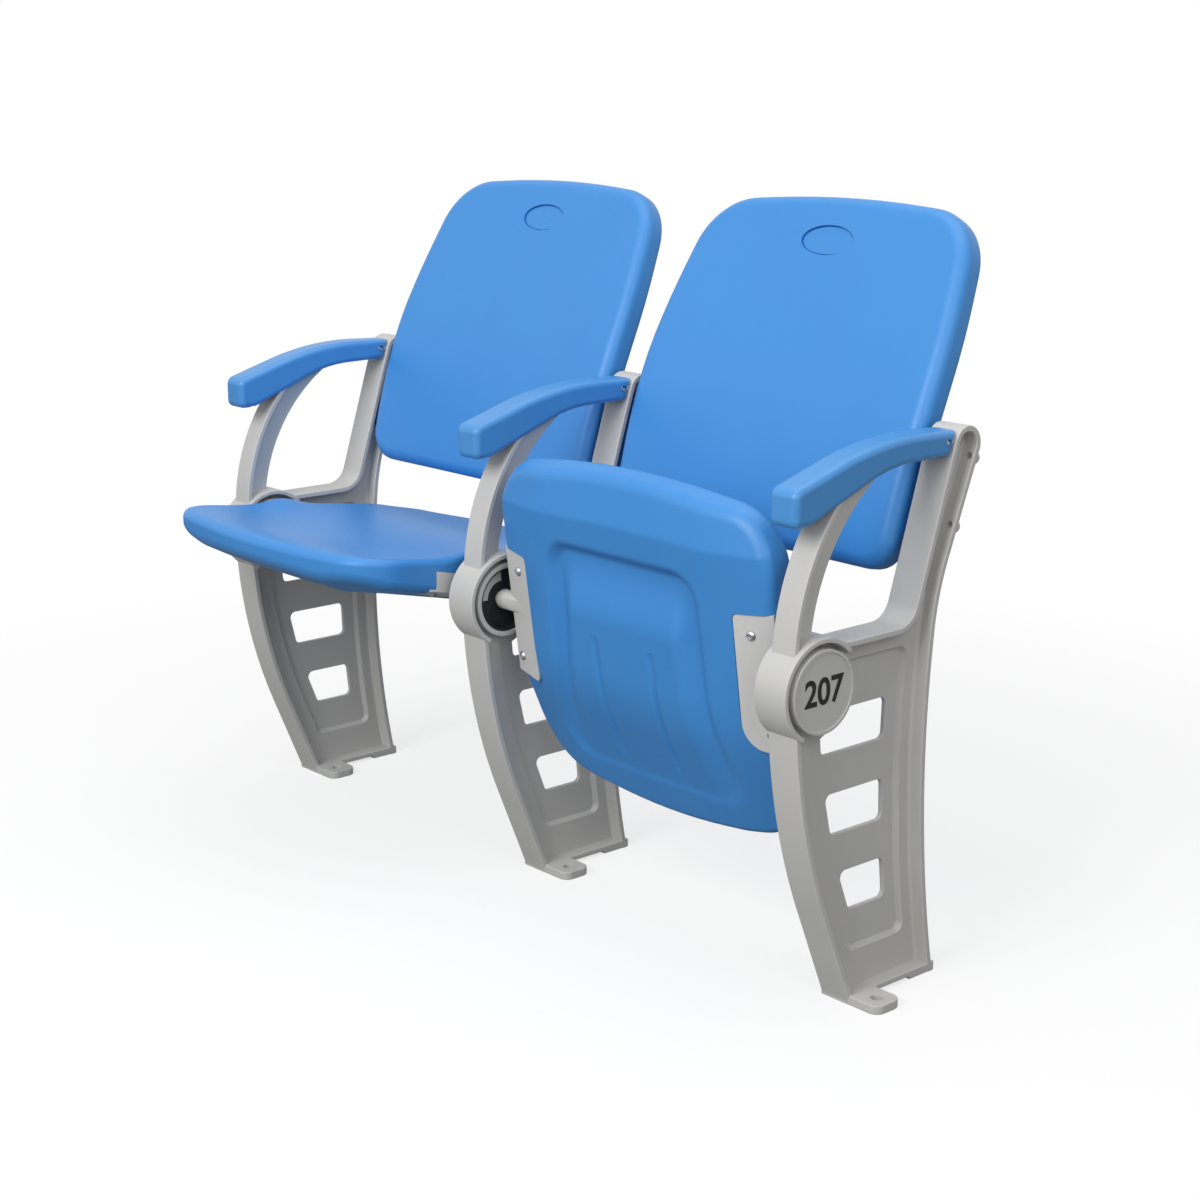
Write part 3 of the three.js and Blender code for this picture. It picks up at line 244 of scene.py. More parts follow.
# Warm grey polyester powder on cast aluminium: a fine orange peel over a slightly uneven sand-cast skin.
POWDER_COAT = Finish(
    "powder_coated_cast_aluminium",
    "#c4c3c0",
    "#bcbbb8",
    0.5,
    (Relief(14.0, 0.10), Relief(2.4, 0.035), Relief(0.9, 0.018)),
)

# The same powder on pressed steel, which is flatter and a little smoother.
COATED_STEEL = Finish(
    "powder_coated_pressed_steel",
    "#d0d0ce",
    "#c8c8c6",
    0.42,
    (Relief(2.6, 0.02), Relief(1.0, 0.012)),
)

# Blow-moulded polyethylene: a satin skin with a fine sandblasted grain, slow waves where the wall thins, waxy gloss.
BLOWN_SHELL = Finish(
    "blow_moulded_polyethylene",
    "#3c8ad0",
    "#3884ca",
    0.46,
    (Relief(46.0, 0.16), Relief(3.2, 0.02), Relief(1.2, 0.03)),
    cloud_width=130.0,
    ior=1.51,
)

# Injection-moulded polypropylene: the same blue from a finer, glossier tool.
MOULDED_CAP = Finish(
    "injection_moulded_polypropylene",
    "#4a90d0",
    "#468bca",
    0.38,
    (Relief(30.0, 0.06), Relief(1.1, 0.02)),
    cloud_width=110.0,
    ior=1.49,
)

# Bright zinc on steel: a thin mirror-like skin with faint tumbling marks.
ZINC = Finish(
    "zinc_plated_steel",
    "#c6c9cc",
    "#b4b7bb",
    0.36,
    (Relief(3.0, 0.01), Relief(0.6, 0.006)),
    roughness_spread=0.08,
    cloud_width=6.0,
    metallic=1.0,
)

# Black glass-filled nylon: dull, with a fine dry grain; the bushes' plates and sleeves in it also paint the hubs'
# shade.
NYLON = Finish(
    "black_glass_filled_nylon",
    "#1b1b1d",
    "#242426",
    0.55,
    (Relief(1.4, 0.03),),
    cloud_width=20.0,
    ior=1.53,
)

# Black pad-printing ink: a thin even film that is a little glossier than the coat under it.
INK = Finish(
    "black_pad_printed_ink",
    "#161617",
    "#1d1d1e",
    0.4,
    (Relief(1.2, 0.01),),
    cloud_width=12.0,
)


# Outlines in the plane


def rounded_path(corners: Sequence[Corner], closed: bool = False, chord: float = CHORD) -> np.ndarray:
    """Joins corners by straight lines, with an arc at each corner that has a radius.

    Args:
        corners: The corners as (a, b) or (a, b, radius).
        closed: Whether the last corner joins the first.
        chord: How far an arc's chord may lie from it.

    Returns:
        The points of the path, one row each.
    """
    points: list[np.ndarray] = []
    count = len(corners)
    for i, corner in enumerate(corners):
        here = np.array(corner[:2], float)
        radius = corner[2] if len(corner) > 2 else 0.0
        if radius == 0 or (not closed and i in (0, count - 1)):
            points.append(here)
            continue
        back = np.array(corners[i - 1][:2], float) - here
        ahead = np.array(corners[(i + 1) % count][:2], float) - here
        back, ahead = back / np.linalg.norm(back), ahead / np.linalg.norm(ahead)
        turn = math.pi - math.acos(max(-1.0, min(1.0, float(back @ ahead))))
        mean = (back + ahead) / np.linalg.norm(back + ahead)
        centre = here + mean * radius / math.cos(turn / 2)
        start = here + back * radius * math.tan(turn / 2) - centre
        sense = math.copysign(1.0, back[0] * ahead[1] - back[1] * ahead[0])
        steps = max(2, math.ceil(turn / (2 * math.acos(1 - chord / radius))))
        for k in range(steps + 1):
            angle = -sense * turn * k / steps
            c, s = math.cos(angle), math.sin(angle)
            points.append(centre + np.array([start[0] * c - start[1] * s, start[0] * s + start[1] * c]))
    return np.array(points)


def arc(centre: Corner, radius: float, start_deg: float, end_deg: float, chord: float = CHORD) -> np.ndarray:
    """Returns the points of an arc round a centre, from one angle to another in degrees."""
    sweep = math.radians(end_deg - start_deg)
    steps = max(2, math.ceil(abs(sweep) / (2 * math.acos(1 - chord / radius))))
    angles = math.radians(start_deg) + sweep * np.linspace(0, 1, steps + 1)
    return np.array(centre[:2]) + radius * np.column_stack([np.cos(angles), np.sin(angles)])


def offset_path(points: np.ndarray, distance: float, closed: bool = False) -> np.ndarray:
    """Moves a path to its left.

    Args:
        points: The path.
        distance: How far it moves.
        closed: Whether the path's ends join.

    Returns:
        A path of as many points.
    """
    if closed:
        before, after = np.roll(points, 1, 0), np.roll(points, -1, 0)
    else:
        before = np.vstack([2 * points[0] - points[1], points[:-1]])
        after = np.vstack([points[1:], 2 * points[-1] - points[-2]])
    first, second = points - before, after - points
    first /= np.maximum(np.linalg.norm(first, axis=1), 1e-9)[:, None]
    second /= np.maximum(np.linalg.norm(second, axis=1), 1e-9)[:, None]
    mean = first + second
    mean /= np.linalg.norm(mean, axis=1)[:, None]
    stretch = 1 / np.maximum((mean * first).sum(1), 0.5)
    return points + np.column_stack([-mean[:, 1], mean[:, 0]]) * (distance * stretch)[:, None]


def inset(outline: np.ndarray, distance: float) -> np.ndarray:
    """Moves a closed outline inwards, or outwards if the distance is negative."""
    ahead = np.roll(outline, -1, 0)
    area = float(np.sum(outline[:, 0] * ahead[:, 1] - ahead[:, 0] * outline[:, 1]))
    return offset_path(outline, math.copysign(1.0, area) * distance, True)


def quarter(radius: float, steps: int = EDGE_STEPS) -> list[tuple[float, float]]:
    """Returns the steps of a rounded edge as (drop below the face, distance from the side), from the face on."""
    angles = np.linspace(0, math.pi / 2, steps + 1)
    return [(radius * (1 - math.cos(a)), radius * (1 - math.sin(a))) for a in angles]


def stood(outline: np.ndarray, x: float) -> np.ndarray:
    """Returns the 3-D points of a side-view outline at a place on X."""
    return np.column_stack([np.full(len(outline), x), outline])


def strip(points: np.ndarray, thickness: float) -> np.ndarray:
    """Returns the outline of a strip to the left of a path, or to its right if the thickness is negative."""
    return np.vstack([points, offset_path(points, thickness)[::-1]])


def stepped(outline: np.ndarray, longest: float) -> np.ndarray:
    """Splits the sides of a closed outline so that none is longer than the given length."""
    points = []
    for here, following in zip(outline, np.roll(outline, -1, 0)):
        parts = max(1, math.ceil(float(np.linalg.norm(following - here)) / longest))
        points.extend(here + (following - here) * k / parts for k in range(parts))
    return np.array(points)


def along(points: np.ndarray, key: int) -> Callable[[float], float]:
    """Reads one coordinate of a path from the other.

    Args:
        points: The path, which runs one way along the key coordinate.
        key: 0 to look up b from a, 1 to look up a from b.

    Returns:
        The look-up, straight beyond the path's ends.
    """
    order = points[np.argsort(points[:, key])]
    keys, values = order[:, key], order[:, 1 - key]

    def read(at: float) -> float:
        i = int(np.clip(np.searchsorted(keys, at), 1, len(keys) - 1))
        share = (at - keys[i - 1]) / (keys[i] - keys[i - 1])
        return float(values[i - 1] + share * (values[i] - values[i - 1]))

    return read


def depth_inside(points: np.ndarray, outline: np.ndarray) -> np.ndarray:
    """Measures how far points lie inside a closed outline.

    Args:
        points: The points to measure.
        outline: The closed outline.

    Returns:
        The distances, negative outside.
    """
    start, end = outline, np.roll(outline, -1, 0)
    nearest = np.full(len(points), np.inf)
    inside = np.zeros(len(points), bool)
    for a, b in zip(start, end):
        side = b - a
        share = np.clip(((points - a) @ side) / max(float(side @ side), 1e-12), 0, 1)
        nearest = np.minimum(nearest, np.linalg.norm(points - (a + share[:, None] * side), axis=1))
        if a[1] != b[1]:
            crosses = (a[1] > points[:, 1]) != (b[1] > points[:, 1])
            inside ^= crosses & (points[:, 0] < a[0] + side[0] * (points[:, 1] - a[1]) / side[1])
    return np.where(inside, nearest, -nearest)


def smooth(value: np.ndarray, low: float, high: float) -> np.ndarray:
    """Rises smoothly from 0 at the low value to 1 at the high one."""
    share = np.clip((value - low) / (high - low), 0, 1)
    return share * share * (3 - 2 * share)


# Bodies


def linked(name: str, data: bpy.types.ID) -> bpy.types.Object:
    """Makes an object of some data and puts it in the scene."""
    item = bpy.data.objects.new(name, data)
    bpy.context.scene.collection.objects.link(item)
    return item


class Solid:
    """A closed body in millimetres that others can be joined to or cut from."""

    def __init__(self, mesh: bpy.types.Mesh) -> None:
        """Keeps the body's mesh."""
        self.mesh = mesh

    @classmethod
    def of(cls, points: np.ndarray, faces: Iterable[Sequence[int]]) -> "Solid":
        """Makes a body from points and faces, and turns it right side out.

        Args:
            points: The corners, one row each.
            faces: The corner numbers of each face.

        Returns:
            The body.
        """
        mesh = bpy.data.meshes.new("solid")
        mesh.from_pydata([tuple(map(float, p)) for p in points], [], [tuple(map(int, f)) for f in faces])
        work = bmesh.new()
        work.from_mesh(mesh)
        if work.calc_volume(signed=True) < 0:
            bmesh.ops.reverse_faces(work, faces=work.faces)
        work.to_mesh(mesh)
        work.free()
        return cls(mesh)

    @classmethod
    def lofted(cls, rings: Sequence[np.ndarray], poles: bool = False) -> "Solid":
        """Skins rings of equally many points.

        Args:
            rings: The rings, each with one 3-D point a row.
            poles: Whether the end rings close in a point at their middle instead of a flat face.

        Returns:
            The closed body.
        """
        count = len(rings[0])
        points = np.vstack(rings)
        faces: list[list[int]] = []
        for r in range(len(rings) - 1):
            for i in range(count):
                a, b = r * count + i, r * count + (i + 1) % count
                faces.append([a, b, b + count, a + count])
        last = (len(rings) - 1) * count
        if poles:
            points = np.vstack([points, rings[0].mean(0), rings[-1].mean(0)])
            first_pole, last_pole = len(points) - 2, len(points) - 1
            faces += [[first_pole, (i + 1) % count, i] for i in range(count)]
            faces += [[last_pole, last + i, last + (i + 1) % count] for i in range(count)]
        else:
            faces += [list(range(count))[::-1], list(range(last, last + count))]
        return cls.of(points, faces)

    @classmethod
    def across(cls, outline: np.ndarray, start: float, end: float, ease: float = 0.0) -> "Solid":
        """Pushes a side-view outline along X.

        Args:
            outline: The closed outline.
            start: The lower end on X.
            end: The upper end on X.
            ease: The radius of its edges.

        Returns:
            The closed body.
        """
        turns = quarter(ease, EDGE_STEPS if ease < BROAD_EDGE else BROAD_EDGE_STEPS)
        near = [(start + drop, side) for drop, side in turns] if ease else [(start, 0.0)]
        far = [(end - (x - start), side) for x, side in near[::-1]]
        rings = [stood(inset(outline, side), x) for x, side in near + far]
        return cls.lofted(rings)

    @classmethod
    def opening(cls, outline: np.ndarray, start: float, end: float, ease: float, overrun: float = 4.0) -> "Solid":
        """Makes the body that cuts a hole with rounded rims.

        Args:
            outline: The hole's outline in the side view.
            start: The lower face that it opens on X.
            end: The upper face.
            ease: The rims' radius.
            overrun: How far it reaches beyond both faces.

        Returns:
            The closed body.
        """
        near = [(start - overrun, ease), *((start + drop, side) for drop, side in quarter(ease))]
        far = [(end - (x - start), side) for x, side in near[::-1]]
        rings = [stood(inset(outline, -side), x) for x, side in near + far]
        return cls.lofted(rings)

    @classmethod
    def drum(
        cls, radius: float, start: float, end: float, y: float = 0.0, z: float = 0.0, ease: float = 0.0
    ) -> "Solid":
        """Makes a cylinder round a line parallel to X, with rounded edges if these have a radius."""
        return cls.across(arc((y, z), radius, 0, 360)[:-1], start, end, ease)

    @classmethod
    def sector(
        cls, inner: float, outer: float, angles: Corner, start: float, end: float, ease: float = 0.0
    ) -> "Solid":
        """Makes part of a ring round the X axis.

        Args:
            inner: The inner radius.
            outer: The outer radius.
            angles: The first and last angle in degrees, from +Y towards +Z.
            start: The lower end on X.
            end: The upper end on X.
            ease: The radius of its edges.

        Returns:
            The closed body.
        """
        outside = arc((0, 0), outer, angles[0], angles[1])
        return cls.across(np.vstack([outside, arc((0, 0), inner, angles[1], angles[0])]), start, end, ease)

    @classmethod
    def turned(cls, profile: Sequence[Corner], sides: int = 72) -> "Solid":
        """Turns a profile of (radius, place along X) round the X axis."""
        angles = np.linspace(0, 2 * math.pi, sides, endpoint=False)
        rings = [
            np.column_stack([np.full(sides, at), radius * np.cos(angles), radius * np.sin(angles)])
            for radius, at in profile
        ]
        return cls.lofted(rings)

    @classmethod
    def rod(
        cls, radius: float, start: np.ndarray, direction: np.ndarray, length: float, ease: float = 0.0
    ) -> "Solid":
        """Makes a cylinder from a start point along a direction."""
        body = cls.drum(radius, 0, length, ease=ease)
        turn = Vector((1, 0, 0)).rotation_difference(Vector(direction)).to_matrix().to_4x4()
        body.mesh.transform(Matrix.Translation(Vector(start)) @ turn)
        return body

    def moved(self, x: float = 0.0, y: float = 0.0, z: float = 0.0) -> "Solid":
        """Moves the body and returns it."""
        self.mesh.transform(Matrix.Translation((x, y, z)))
        return self

    def copy(self) -> "Solid":
        """Returns a body with a mesh of its own."""
        return Solid(self.mesh.copy())

    def mirrored(self) -> "Solid":
        """Returns the body's mirror image across X = 0."""
        twin = self.copy()
        twin.mesh.transform(Matrix.Diagonal((-1, 1, 1, 1)))
        twin.mesh.flip_normals()
        return twin

    def with_(self, operation: Operation, *others: "Solid") -> "Solid":
        """Joins other bodies to this one or cuts them from it.

        Args:
            operation: What is done.
            *others: The bodies that do it, in order.

        Returns:
            The new body.
        """
        base = linked("base", self.mesh)
        tools = [linked("tool", other.mesh) for other in others]
        for tool in tools:
            step = base.modifiers.new("step", "BOOLEAN")
            step.object, step.operation, step.solver = tool, operation.value, "MANIFOLD"
        result = Solid(evaluated_mesh(base))
        for item in (base, *tools):
            bpy.data.objects.remove(item)
        if not result.mesh.polygons:
            raise ValueError(f"a {operation.name.lower()} left nothing")
        return result

    def join(self, *others: "Solid") -> "Solid":
        """Returns this body joined with others."""
        return self.with_(Operation.JOIN, *others)

    def cut(self, *others: "Solid") -> "Solid":
        """Returns this body with others cut from it."""
        return self.with_(Operation.CUT, *others)

    def eased(self, width: float, segments: int = 2, angle_deg: float = 38.0) -> "Solid":
        """Rounds the body's sharp edges.

        Args:
            width: The rounding's width on each side of an edge.
            segments: The steps of the rounding.
            angle_deg: Edges that turn less than this stay as they are.

        Returns:
            The new body.
        """
        self.cleaned().parted()
        item = linked("eased", self.mesh)
        bevel = item.modifiers.new("edges", "BEVEL")
        bevel.width, bevel.segments, bevel.limit_method = width, segments, "ANGLE"
        bevel.angle_limit = math.radians(angle_deg)
        bevel.use_clamp_overlap = False
        bevel.miter_outer = "MITER_ARC"
        result = Solid(evaluated_mesh(item))
        bpy.data.objects.remove(item)
        return result

    def cleaned(self) -> "Solid":
        """Merges doubled corners and flat neighbours in place and returns the body."""
        work = bmesh.new()
        work.from_mesh(self.mesh)
        bmesh.ops.remove_doubles(work, verts=work.verts, dist=WELD)
        bmesh.ops.dissolve_degenerate(work, edges=work.edges, dist=WELD)
        flat = math.radians(FLAT_DEG)
        bmesh.ops.dissolve_limit(work, angle_limit=flat, verts=work.verts, edges=work.edges)
        work.to_mesh(self.mesh)
        work.free()
        return self

    def parted(self, pitch: float = 24.0) -> "Solid":
        """Splits broad faces in place along a grid in the side view, so that none is too ragged to round.

        Args:
            pitch: The grid's pitch.

        Returns:
            The body.
        """
        work = bmesh.new()
        work.from_mesh(self.mesh)
        for axis in (1, 2):
            reach = [v.co[axis] for v in work.verts]
            for at in np.arange(min(reach) + pitch / 2, max(reach), pitch):
                normal = Vector((0, axis == 1, axis == 2))
                parts = [*work.verts, *work.edges, *work.faces]
                bmesh.ops.bisect_plane(work, geom=parts, dist=SLICE, plane_co=normal * at, plane_no=normal)
        work.to_mesh(self.mesh)
        work.free()
        return self


def evaluated_mesh(item: bpy.types.Object) -> bpy.types.Mesh:
    """Returns a plain mesh of an object with its modifiers applied."""
    graph = bpy.context.evaluated_depsgraph_get()
    graph.update()
    return bpy.data.meshes.new_from_object(item.evaluated_get(graph), depsgraph=graph)


def weighted_normals(mesh: bpy.types.Mesh, weight: int = 80) -> bpy.types.Mesh:
    """Gives a mesh with narrow rounded edges the even shading of its broad faces.

    Args:
        mesh: The mesh.
        weight: How much more a broad face counts than a narrow one, from 1 to 100.

    Returns:
        The shaded mesh.
    """
    item = linked("weighted", mesh)
    modifier = item.modifiers.new("normals", "WEIGHTED_NORMAL")
    modifier.keep_sharp, modifier.weight = True, weight
    result = evaluated_mesh(item)
    bpy.data.objects.remove(item)
    return result


@dataclass(frozen=True)
class Dress:
    """How a finished piece looks and what it stands for."""

    finish: Finish
    slot: Slot
    body: Body
    nodes: tuple[str, ...]


def set_out(name: str, solid: Solid, place: Matrix, dress: Dress, crease_deg: float = 35.0) -> bpy.types.Object:
    """Places a finished body in the frame, gives it its material and lets it ride.

    Args:
        name: The piece's name.
        solid: Its body in millimetres.
        place: Its turn and place in the row, in millimetres.
        dress: Its finish, slot, body and the nodes it stands for.
        crease_deg: Edges that turn more than this stay crisp.

    Returns:
        The new object.
    """
    mesh = solid.mesh.copy()
    mesh.transform(Matrix.Diagonal((MM, MM, MM, 1)) @ place)
    mesh.name = name
    mesh.polygons.foreach_set("use_smooth", [True] * len(mesh.polygons))
    mesh.set_sharp_from_angle(angle=math.radians(crease_deg))
    mesh = weighted_normals(mesh)
    mesh.name = name
    mesh.materials.clear()
    mesh.materials.append(dress.finish.material())
    item = linked(name, mesh)
    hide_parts(*dress.nodes)
    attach(item, dress.body.value)
    LOG.info("%s: %d faces, %s", name, len(mesh.polygons), dress.finish.name)
    return item


# The row


@dataclass(frozen=True)
class Row:
    """Where standards, hubs and seats lie."""

    spacing: float = 540.0
    origin_setback: float = 23.0
    hub_setback: float = -57.5
    hub_height: float = 382.5
    tip_deg: float = 69.0

    @property
    def hub_axis(self) -> Corner:
        """The hubs' axis in the side view, from a standard's origin."""
        return self.hub_setback, self.hub_height

    def standard(self, number: int) -> Matrix:
        """Returns the place of a standard, numbered from 0 at the left."""
        return Matrix.Translation(((number - 1) * self.spacing, -self.origin_setback, 0))

    def back(self, place: Place) -> Matrix:
        """Returns the place of a back."""
        return Matrix.Translation((place.value * self.spacing, -self.origin_setback, 0))

    def hub(self, x: float) -> Matrix:
        """Returns the place of a piece drawn about a hub's axis."""
        return Matrix.Translation((x, self.hub_setback - self.origin_setback, self.hub_height))

    def seat(self, place: Place) -> Matrix:
        """Returns the place of a seat: the left one is down and the right one is tipped up."""
        tip = -self.tip_deg if place is Place.RIGHT else 0.0
        return self.hub(place.value * self.spacing) @ Matrix.Rotation(math.radians(tip), 4, "X")


ROW = Row()
STANDARD_WORDS = ("left", "middle", "right")


@dataclass
class CastStandard:
    """A cast leg with its foot, web, hub and arm loop, in one piece."""

    foot_length: float = 148.0
    foot_thickness: float = 11.0
    relief_depth: float = 4.0
    relief_start: float = 46.0
    relief_end: float = 106.0
    ear_reach: float = 64.0
    ear_width: float = 43.0
    ear_corner: float = 13.0
    ear_hole: float = 7.5
    ear_hole_inset: float = 19.0
    flange: float = 43.0
    flange_thickness: float = 7.0
    arm_flange: float = 34.0
    web: float = 7.0
    front_toe: float = 2.0
    front_reach: float = 98.0
    leg_bend_height: float = 246.0
    leg_bend_radius: float = 720.0
    loop_bend_height: float = 545.0
    loop_bend_radius: float = 270.0
    loop_end_setback: float = 10.0
    loop_end_height: float = 628.0
    loop_inner_radius: float = 237.0
    loop_inner_setback: float = 177.0
    loop_inner_height: float = 409.0
    rear_toe: float = 145.5
    waist_setback: float = 105.3
    waist_height: float = 207.5
    waist_radius: float = 1400.0
    knee_height: float = 460.0
    knee_radius: float = 300.0
    rear_lean: float = math.tan(math.radians(21.5))
    front_lean: float = math.tan(math.radians(17.5))
    crown_setback: float = 171.5
    crown_height: float = 625.0
    crown_radius: float = 22.0
    loop_floor: float = 431.0
    loop_floor_radius: float = 30.0
    loop_floor_end: float = -40.0
    panel_front_margin: float = 37.0
    panel_rear_margin: float = 24.0
    panel_bottom: float = 54.0
    panel_top: float = 404.0
    panel_depth: float = 7.0
    panel_wall: float = 6.0
    panel_draft: float = 4.0
    panel_corner: float = 12.0
    window_count: int = 3
    window_bottom: float = 103.0
    window_height: float = 49.0
    window_pitch: float = 97.0
    window_front_margin: float = 63.0
    window_rear_margin: float = 46.0
    window_corner: float = 8.0
    window_hub_margin: float = 9.0
    hub_radius: float = 60.0
    hub_half_width: float = 23.5
    shroud_wall: float = 6.0
    shroud_angles: Corner = (42.0, 240.0)
    ring_outer: float = 47.5
    ring_inner: float = 41.0
    ring_reach: float = 21.0
    lug_angles: Corner = (96.0, 222.0)
    lug_width_deg: float = 7.0
    stop_inner: float = 22.5
    stop_outer: float = 37.0
    stop_reach: float = 9.5
    stop_angles: Corner = (91.0, 180.0)
    bush_bore: float = 15.0
    bolt_offset: float = 14.0
    bolt_heights: Corner = (533.0, 608.0)
    bolt_hole: float = 4.3
    pad_radius: float = 7.4
    pad_height: float = 4.0
    rail_front: float = -86.0
    rail_thickness: float = 7.0
    rail_drop: float = 9.3
    tongue_depth: float = 33.0
    arm_front: float = -104.0
    arm_front_top: float = 606.2
    arm_bend: Corner = (37.0, 648.6, 430.0)
    arm_rear: float = 151.0
    arm_rear_top: float = 643.0
    screw_setback: float = 139.0
    screw_hole: float = 2.5
    screw_length: float = 12.0
    edge: float = 1.4
    fillet: float = 4.0
    fillet_steps: int = 5
    panel_steps: int = 25
    overrun: float = 6.0
    clearance: float = 0.3
    underground: Corner = (500.0, 80.0, 90.0)

    def toe(self, toe: float, bend_setback: float, bend_height: float) -> Corner:
        """Returns the end of a leg line, drawn on below the floor."""
        return toe + (toe - bend_setback) * self.foot_thickness / bend_height, -self.foot_thickness

    def front_line(self) -> np.ndarray:
        """Returns the front of the leg and loop, upwards."""
        reach = -self.front_reach
        return rounded_path(
            [
                self.toe(self.front_toe, reach, self.leg_bend_height),
                (reach, self.leg_bend_height, self.leg_bend_radius),
                (reach, self.loop_bend_height, self.loop_bend_radius),
                (self.loop_end_setback, self.loop_end_height),
            ]
        )

    def crown(self) -> np.ndarray:
        """Returns the arc over the upright's head, from its rear to its front."""
        lean = [math.degrees(math.atan(t)) for t in (self.rear_lean, self.front_lean)]
        return arc((self.crown_setback, self.crown_height), self.crown_radius, -lean[0], 180 - lean[1])

    def floor_setback(self) -> float:
        """Returns where the upright's front face meets the loop's floor."""
        front = self.crown()[-1]
        return float(front[0] - self.front_lean * (front[1] - self.loop_floor))

    def knee_setback(self) -> float:
        """Returns where the upright's rear face starts."""
        rear = self.crown()[0]
        return float(rear[0] - self.rear_lean * (rear[1] - self.knee_height))

    def rear_line(self) -> tuple[np.ndarray, int]:
        """Returns the rear of the leg, the upright, its crown and the loop's floor, and where the crown ends."""
        crown = self.crown()
        leg = rounded_path(
            [
                self.toe(self.rear_toe, self.waist_setback, self.waist_height),
                (self.waist_setback, self.waist_height, self.waist_radius),
                (self.knee_setback(), self.knee_height, self.knee_radius),
                tuple(crown[0]),
            ]
        )
        floor = rounded_path(
            [
                tuple(crown[-1]),
                (self.floor_setback(), self.loop_floor, self.loop_floor_radius),
                (self.loop_floor_end, self.loop_floor),
            ]
        )
        return np.vstack([leg, crown[1:-1], floor]), len(leg) + len(crown) - 2

    def upright_front(self, z: float) -> float:
        """Returns the upright's front face at a height."""
        return self.floor_setback() + self.front_lean * (z - self.loop_floor)

    def arm_top(self) -> np.ndarray:
        """Returns the top line of the arm rest."""
        ends = (self.arm_front, self.arm_front_top), (self.arm_rear, self.arm_rear_top)
        return rounded_path([ends[0], self.arm_bend, ends[1]])

    def rail(self, rear: float) -> np.ndarray:
        """Returns the top of the rail that carries the arm rest, up to the given setback."""
        top = self.arm_top()
        read = along(top, 0)
        inner = top[(top[:, 0] > self.rail_front) & (top[:, 0] < rear)]
        line = np.vstack([[self.rail_front, read(self.rail_front)], inner, [rear, read(rear)]])
        return line - [0, self.rail_drop]

    def loop_tail(self) -> np.ndarray:
        """Returns the end of the loop's flange, drawn on past the rail."""
        end = self.front_line()[-1]
        slope = end - np.array([-self.front_reach, self.loop_bend_height])
        return end + slope / np.linalg.norm(slope) * (self.rail_drop + self.rail_thickness)

    def strips(self, ease: float) -> tuple[Solid, Solid]:
        """Returns the rear strip and the loop's strip, which frame the arm window, with edges of the given radius."""
        rear, _ = self.rear_line()
        half, arm_half = self.flange / 2, self.arm_flange / 2
        front = self.front_line()
        loop_line = np.vstack([front[front[:, 1] > ROW.hub_height][:-1], self.loop_tail()])
        loop_line = np.vstack([[-self.front_reach, ROW.hub_height - 3 * self.edge], loop_line])
        above = Solid.across(strip(self.rail(self.arm_rear), self.flange), -half, half)
        loop = Solid.across(strip(loop_line, -self.flange_thickness), -arm_half, arm_half, ease).cut(above)
        return Solid.across(strip(rear, self.flange_thickness), -half, half, ease), loop

    def fillets(self, line: np.ndarray, thickness: float) -> list[Solid]:
        """Returns the hollow fillets between the web and a flange.

        Args:
            line: The flange's outer line.
            thickness: The flange's thickness, negative where it lies to the right of its line.

        Returns:
            One body on each side of the web.
        """
        sense = math.copysign(1.0, thickness)
        inner = offset_path(line, thickness - sense)
        rings = []
        for drop, reach in quarter(self.fillet, self.fillet_steps):
            outer = offset_path(line, thickness + sense * reach)
            x = self.web / 2 + drop
            ring = np.vstack([inner, outer[::-1]])
            rings.append(stood(ring, x))
        rings.insert(0, rings[0] - [self.web / 4, 0, 0])
        fillet = Solid.lofted(rings)
        return [fillet, fillet.mirrored()]

    def web_outline(self) -> np.ndarray:
        """Returns the outline of the web, with the arm window still closed."""
        rail = self.rail(self.arm_rear)
        rear, _ = self.rear_line()
        top = int(rear[:, 1].argmax())
        return np.vstack([self.front_line(), rail[rail[:, 0] > self.loop_end_setback], rear[: top + 1][::-1]])

    def window_of_loop(self) -> np.ndarray:
        """Returns the outline of the arm window."""
        read = along(self.arm_top(), 0)

        def under(y: float) -> float:
            return read(y) - self.rail_drop - self.rail_thickness

        curve = arc((self.loop_inner_setback, self.loop_inner_height), self.loop_inner_radius, 180, 90)
        keep = [p for p in curve if self.loop_floor < p[1] < under(min(p[0], self.arm_rear))]
        curve = np.array(keep)
        rear, crown_end = self.rear_line()
        edge = rear[crown_end:]
        edge = edge[edge[:, 0] > curve[0][0]]
        height = under(self.arm_rear)
        top = np.array([[self.upright_front(height), height]])
        roof = np.array([[p[0], under(p[0])] for p in self.arm_top()])
        roof = roof[(roof[:, 0] > curve[-1][0] + self.overrun) & (roof[:, 0] < top[0][0] - self.overrun)]
        edge = edge[edge[:, 1] < height]
        return np.vstack([[[curve[0][0], self.loop_floor]], curve, roof, top, edge])

    def leg_faces(self) -> tuple[Callable[[float], float], Callable[[float], float]]:
        """Returns the look-ups that give the leg's front and rear face at a height."""
        front = self.front_line()
        rear, _ = self.rear_line()
        rear = rear[(rear[:, 1] < self.knee_height) & (rear[:, 0] > self.waist_setback)]
        return along(front[front[:, 1] < self.loop_bend_height], 1), along(rear, 1)

    def screw_height(self) -> float:
        """Returns the height of the arm rest's screw, in the middle of the rail."""
        return along(self.arm_top(), 0)(self.screw_setback) - self.rail_drop - self.rail_thickness / 2

    def panel_loop(self, inwards: float) -> np.ndarray:
        """Returns the outline of the sunk panel, moved inwards."""
        front_at, rear_at = self.leg_faces()
        heights = np.linspace(self.panel_bottom, self.panel_top, self.panel_steps)
        radii = [self.panel_corner, *[0] * (self.panel_steps - 2), self.panel_corner]
        loop = [(rear_at(z) - self.panel_rear_margin, z, radius) for z, radius in zip(heights, radii)]
        loop += [(front_at(z) + self.panel_front_margin, z, radius) for z, radius in zip(heights[::-1], radii)]
        return offset_path(rounded_path(loop, True), inwards, True)

